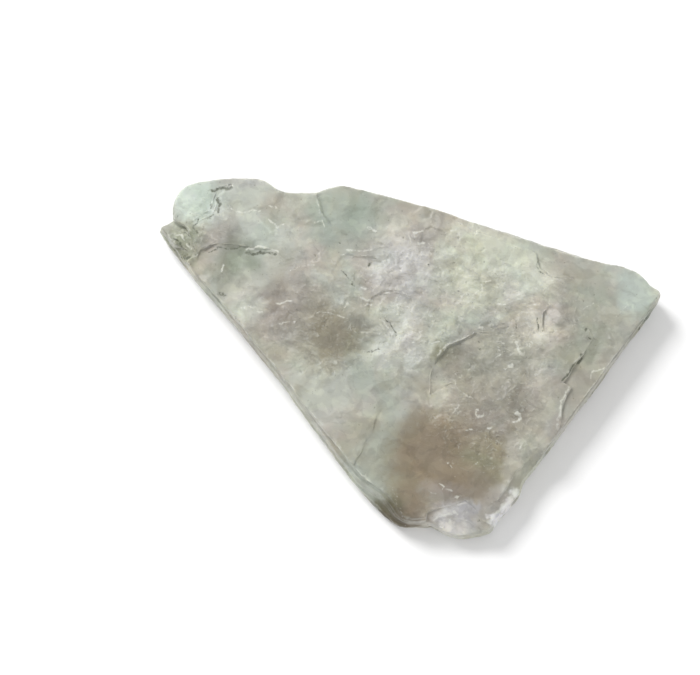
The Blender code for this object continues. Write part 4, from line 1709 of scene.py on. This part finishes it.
    def push_about(self, skin: bpy.types.Object, waves: Waves) -> None:
        """Moves the skin by one soft pattern.

        Args:
            skin: The skin.
            waves: The pattern.
        """
        pattern = bpy.data.textures.new(waves.name, "CLOUDS")
        pattern.noise_scale = 1.0
        pattern.noise_depth = waves.detail
        guide = bpy.data.objects.new(waves.name + "_guide", None)
        bpy.context.scene.collection.objects.link(guide)
        guide.rotation_euler = (0.0, 0.0, math.radians(waves.turn))
        guide.scale = [side * MM for side in waves.size]
        bpy.context.view_layer.update()
        select_only(skin)
        push = skin.modifiers.new(waves.name, "DISPLACE")
        push.texture = pattern
        push.texture_coords = "OBJECT"
        push.texture_coords_object = guide
        push.vertex_group = waves.reach.value
        push.direction = "Z" if waves.upright else "NORMAL"
        push.strength = waves.height * MM
        push.mid_level = 0.5
        bpy.ops.object.modifier_apply(modifier=push.name)
        bpy.data.objects.remove(guide)

    def thin_out(self, skin: bpy.types.Object) -> None:
        """Brings the skin under its limit of triangles, and shades it smooth.

        Args:
            skin: The skin.
        """
        select_only(skin)
        skin.vertex_groups.clear()
        triangles = sum(len(face.vertices) - 2 for face in skin.data.polygons)
        LOG.info("fine skin: %d triangles", triangles)
        thinner = skin.modifiers.new("thinner", "DECIMATE")
        thinner.ratio = min(1.0, self.most_triangles / triangles)
        bpy.ops.object.modifier_apply(modifier=thinner.name)
        bpy.ops.object.shade_smooth_by_angle(angle=math.radians(self.smooth_angle))

    def store_masks(self, skin: bpy.types.Object) -> None:
        """Stores where the skin has edges, hollows, marks, sheets and flaked fields.

        Args:
            skin: The skin.
        """
        places, normals = self.points(skin)
        upper = self.face.share(places, normals)
        bulge = self.bulge(skin, places, normals)
        masks = {
            # Convex places, which the finish paints pale as highlights and bruised wear.
            "edge": smooth_step(*self.bulge_limits, bulge),
            # Concave places, which the finish darkens as painted shade.
            "hollow_shade": smooth_step(*self.bulge_limits, -bulge),
            "flaked": spots_at(FLAKED_FIELDS, places) * upper,
            # Rims, painted partly as bruised lips and partly as highlights.
            "rim": self.face.mark_strength(RIM_HIGHLIGHTS, places) * upper,
            # Cracks, and painted shadows under ledges and in pits.
            "crack_and_shadow": self.face.mark_strength(CRACKS_AND_LEDGE_SHADOWS, places) * upper,
            "tone": self.face.sheet_tone(places, normals),
            "clear": spots_at(CLEAR_WINDOWS, places),
            "wall": self.walls.share(normals),
        }
        for name, values in masks.items():
            attribute = skin.data.attributes.new(name, "FLOAT", "POINT")
            attribute.data.foreach_set("value", values.astype(np.float32))

    def bulge(
        self, skin: bpy.types.Object, places: np.ndarray, normals: np.ndarray
    ) -> np.ndarray:
        """Works out how far each point stands out from its surroundings.

        Args:
            skin: The skin.
            places: The points' places in millimetres.
            normals: Their normals.

        Returns:
            The distance in millimetres, below 0 where the skin dips in.
        """
        ends = np.empty(len(skin.data.edges) * 2, dtype=int)
        skin.data.edges.foreach_get("vertices", ends)
        first, second = ends.reshape(-1, 2).T
        count = len(places)
        neighbours = np.maximum(np.bincount(ends, minlength=count), 1.0)
        eased = places.copy()
        for _ in range(self.bulge_rings):
            total = np.empty_like(eased)
            for axis in range(3):
                total[:, axis] = np.bincount(first, eased[second, axis], minlength=count)
                total[:, axis] += np.bincount(second, eased[first, axis], minlength=count)
            eased = total / neighbours[:, None]
        return ((places - eased) * normals).sum(axis=1)


@dataclass
class Studio:
    """A pale floor, soft lights and the camera. Lengths are in metres."""

    camera_elevation: float = 78.0
    camera_distance: float = 0.5745
    lens_mm: float = 100.0
    aim: Triple = (-0.0177, 0.0053, 0.010)
    floor_size: float = 6.0
    floor_colour: Colour = (0.86, 0.86, 0.86)
    sky: float = 0.62
    key_watts: float = 21.0
    fill_watts: float = 3.0

    def build(self) -> None:
        """Makes the floor, the lights and the camera."""
        self.build_floor()
        self.build_lights()
        self.build_camera()

    def build_floor(self) -> None:
        """Makes the floor that the stone lies on."""
        bpy.ops.mesh.primitive_plane_add(size=self.floor_size, location=(0.0, 0.0, 0.0))
        floor = bpy.context.active_object
        floor.name = "floor"
        material = bpy.data.materials.new("floor_paper")
        material.use_nodes = True
        shader = material.node_tree.nodes["Principled BSDF"]
        shader.inputs["Base Color"].default_value = (*self.floor_colour, 1.0)
        shader.inputs["Roughness"].default_value = 0.9
        floor.data.materials.append(material)

    def build_lights(self) -> None:
        """Makes a soft key light from the far left, a fill and an even sky."""
        world = bpy.data.worlds.new("studio")
        bpy.context.scene.world = world
        world.use_nodes = True
        background = world.node_tree.nodes["Background"]
        background.inputs["Color"].default_value = (1.0, 1.0, 1.0, 1.0)
        background.inputs["Strength"].default_value = self.sky
        self.area_light("key", (-0.75, 0.8, 1.05), 0.6, self.key_watts)
        self.area_light("fill", (0.6, -0.5, 0.9), 0.8, self.fill_watts)

    def area_light(
        self, name: str, place: Triple, size: float, power: float
    ) -> None:
        """Makes a square light that shines on the stone.

        Args:
            name: The light's name.
            place: Where it stands.
            size: The length of its side.
            power: Its power in watts.
        """
        lamp = bpy.data.lights.new(name, "AREA")
        lamp.size = size
        lamp.energy = power
        light = bpy.data.objects.new(name, lamp)
        bpy.context.scene.collection.objects.link(light)
        light.location = place
        light.rotation_euler = (-Vector(place)).to_track_quat("-Z", "Y").to_euler()

    def build_camera(self) -> None:
        """Makes the camera, which looks down on the stone."""
        camera_data = bpy.data.cameras.new("camera")
        camera_data.lens = self.lens_mm
        camera = bpy.data.objects.new("camera", camera_data)
        bpy.context.scene.collection.objects.link(camera)
        tilt = math.radians(self.camera_elevation)
        back = Vector((0.0, -math.cos(tilt), math.sin(tilt)))
        camera.location = Vector(self.aim) + back * self.camera_distance
        camera.rotation_euler = (-back).to_track_quat("-Z", "Y").to_euler()
        bpy.context.scene.camera = camera
        bpy.context.scene.view_settings.view_transform = "Standard"


def main() -> None:
    """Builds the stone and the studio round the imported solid."""
    logging.basicConfig(level=logging.INFO, format="%(message)s")
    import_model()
    plate = GypsumPlate()
    skin = plate.build()
    skin.data.materials.append(GypsumFinish().build())
    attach(skin, "root")
    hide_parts(plate.node)
    LOG.info("%s: %d faces", skin.name, len(skin.data.polygons))
    Studio().build()
    LOG.info("studio: floor, lights and camera")


if __name__ == "__main__":
    main()
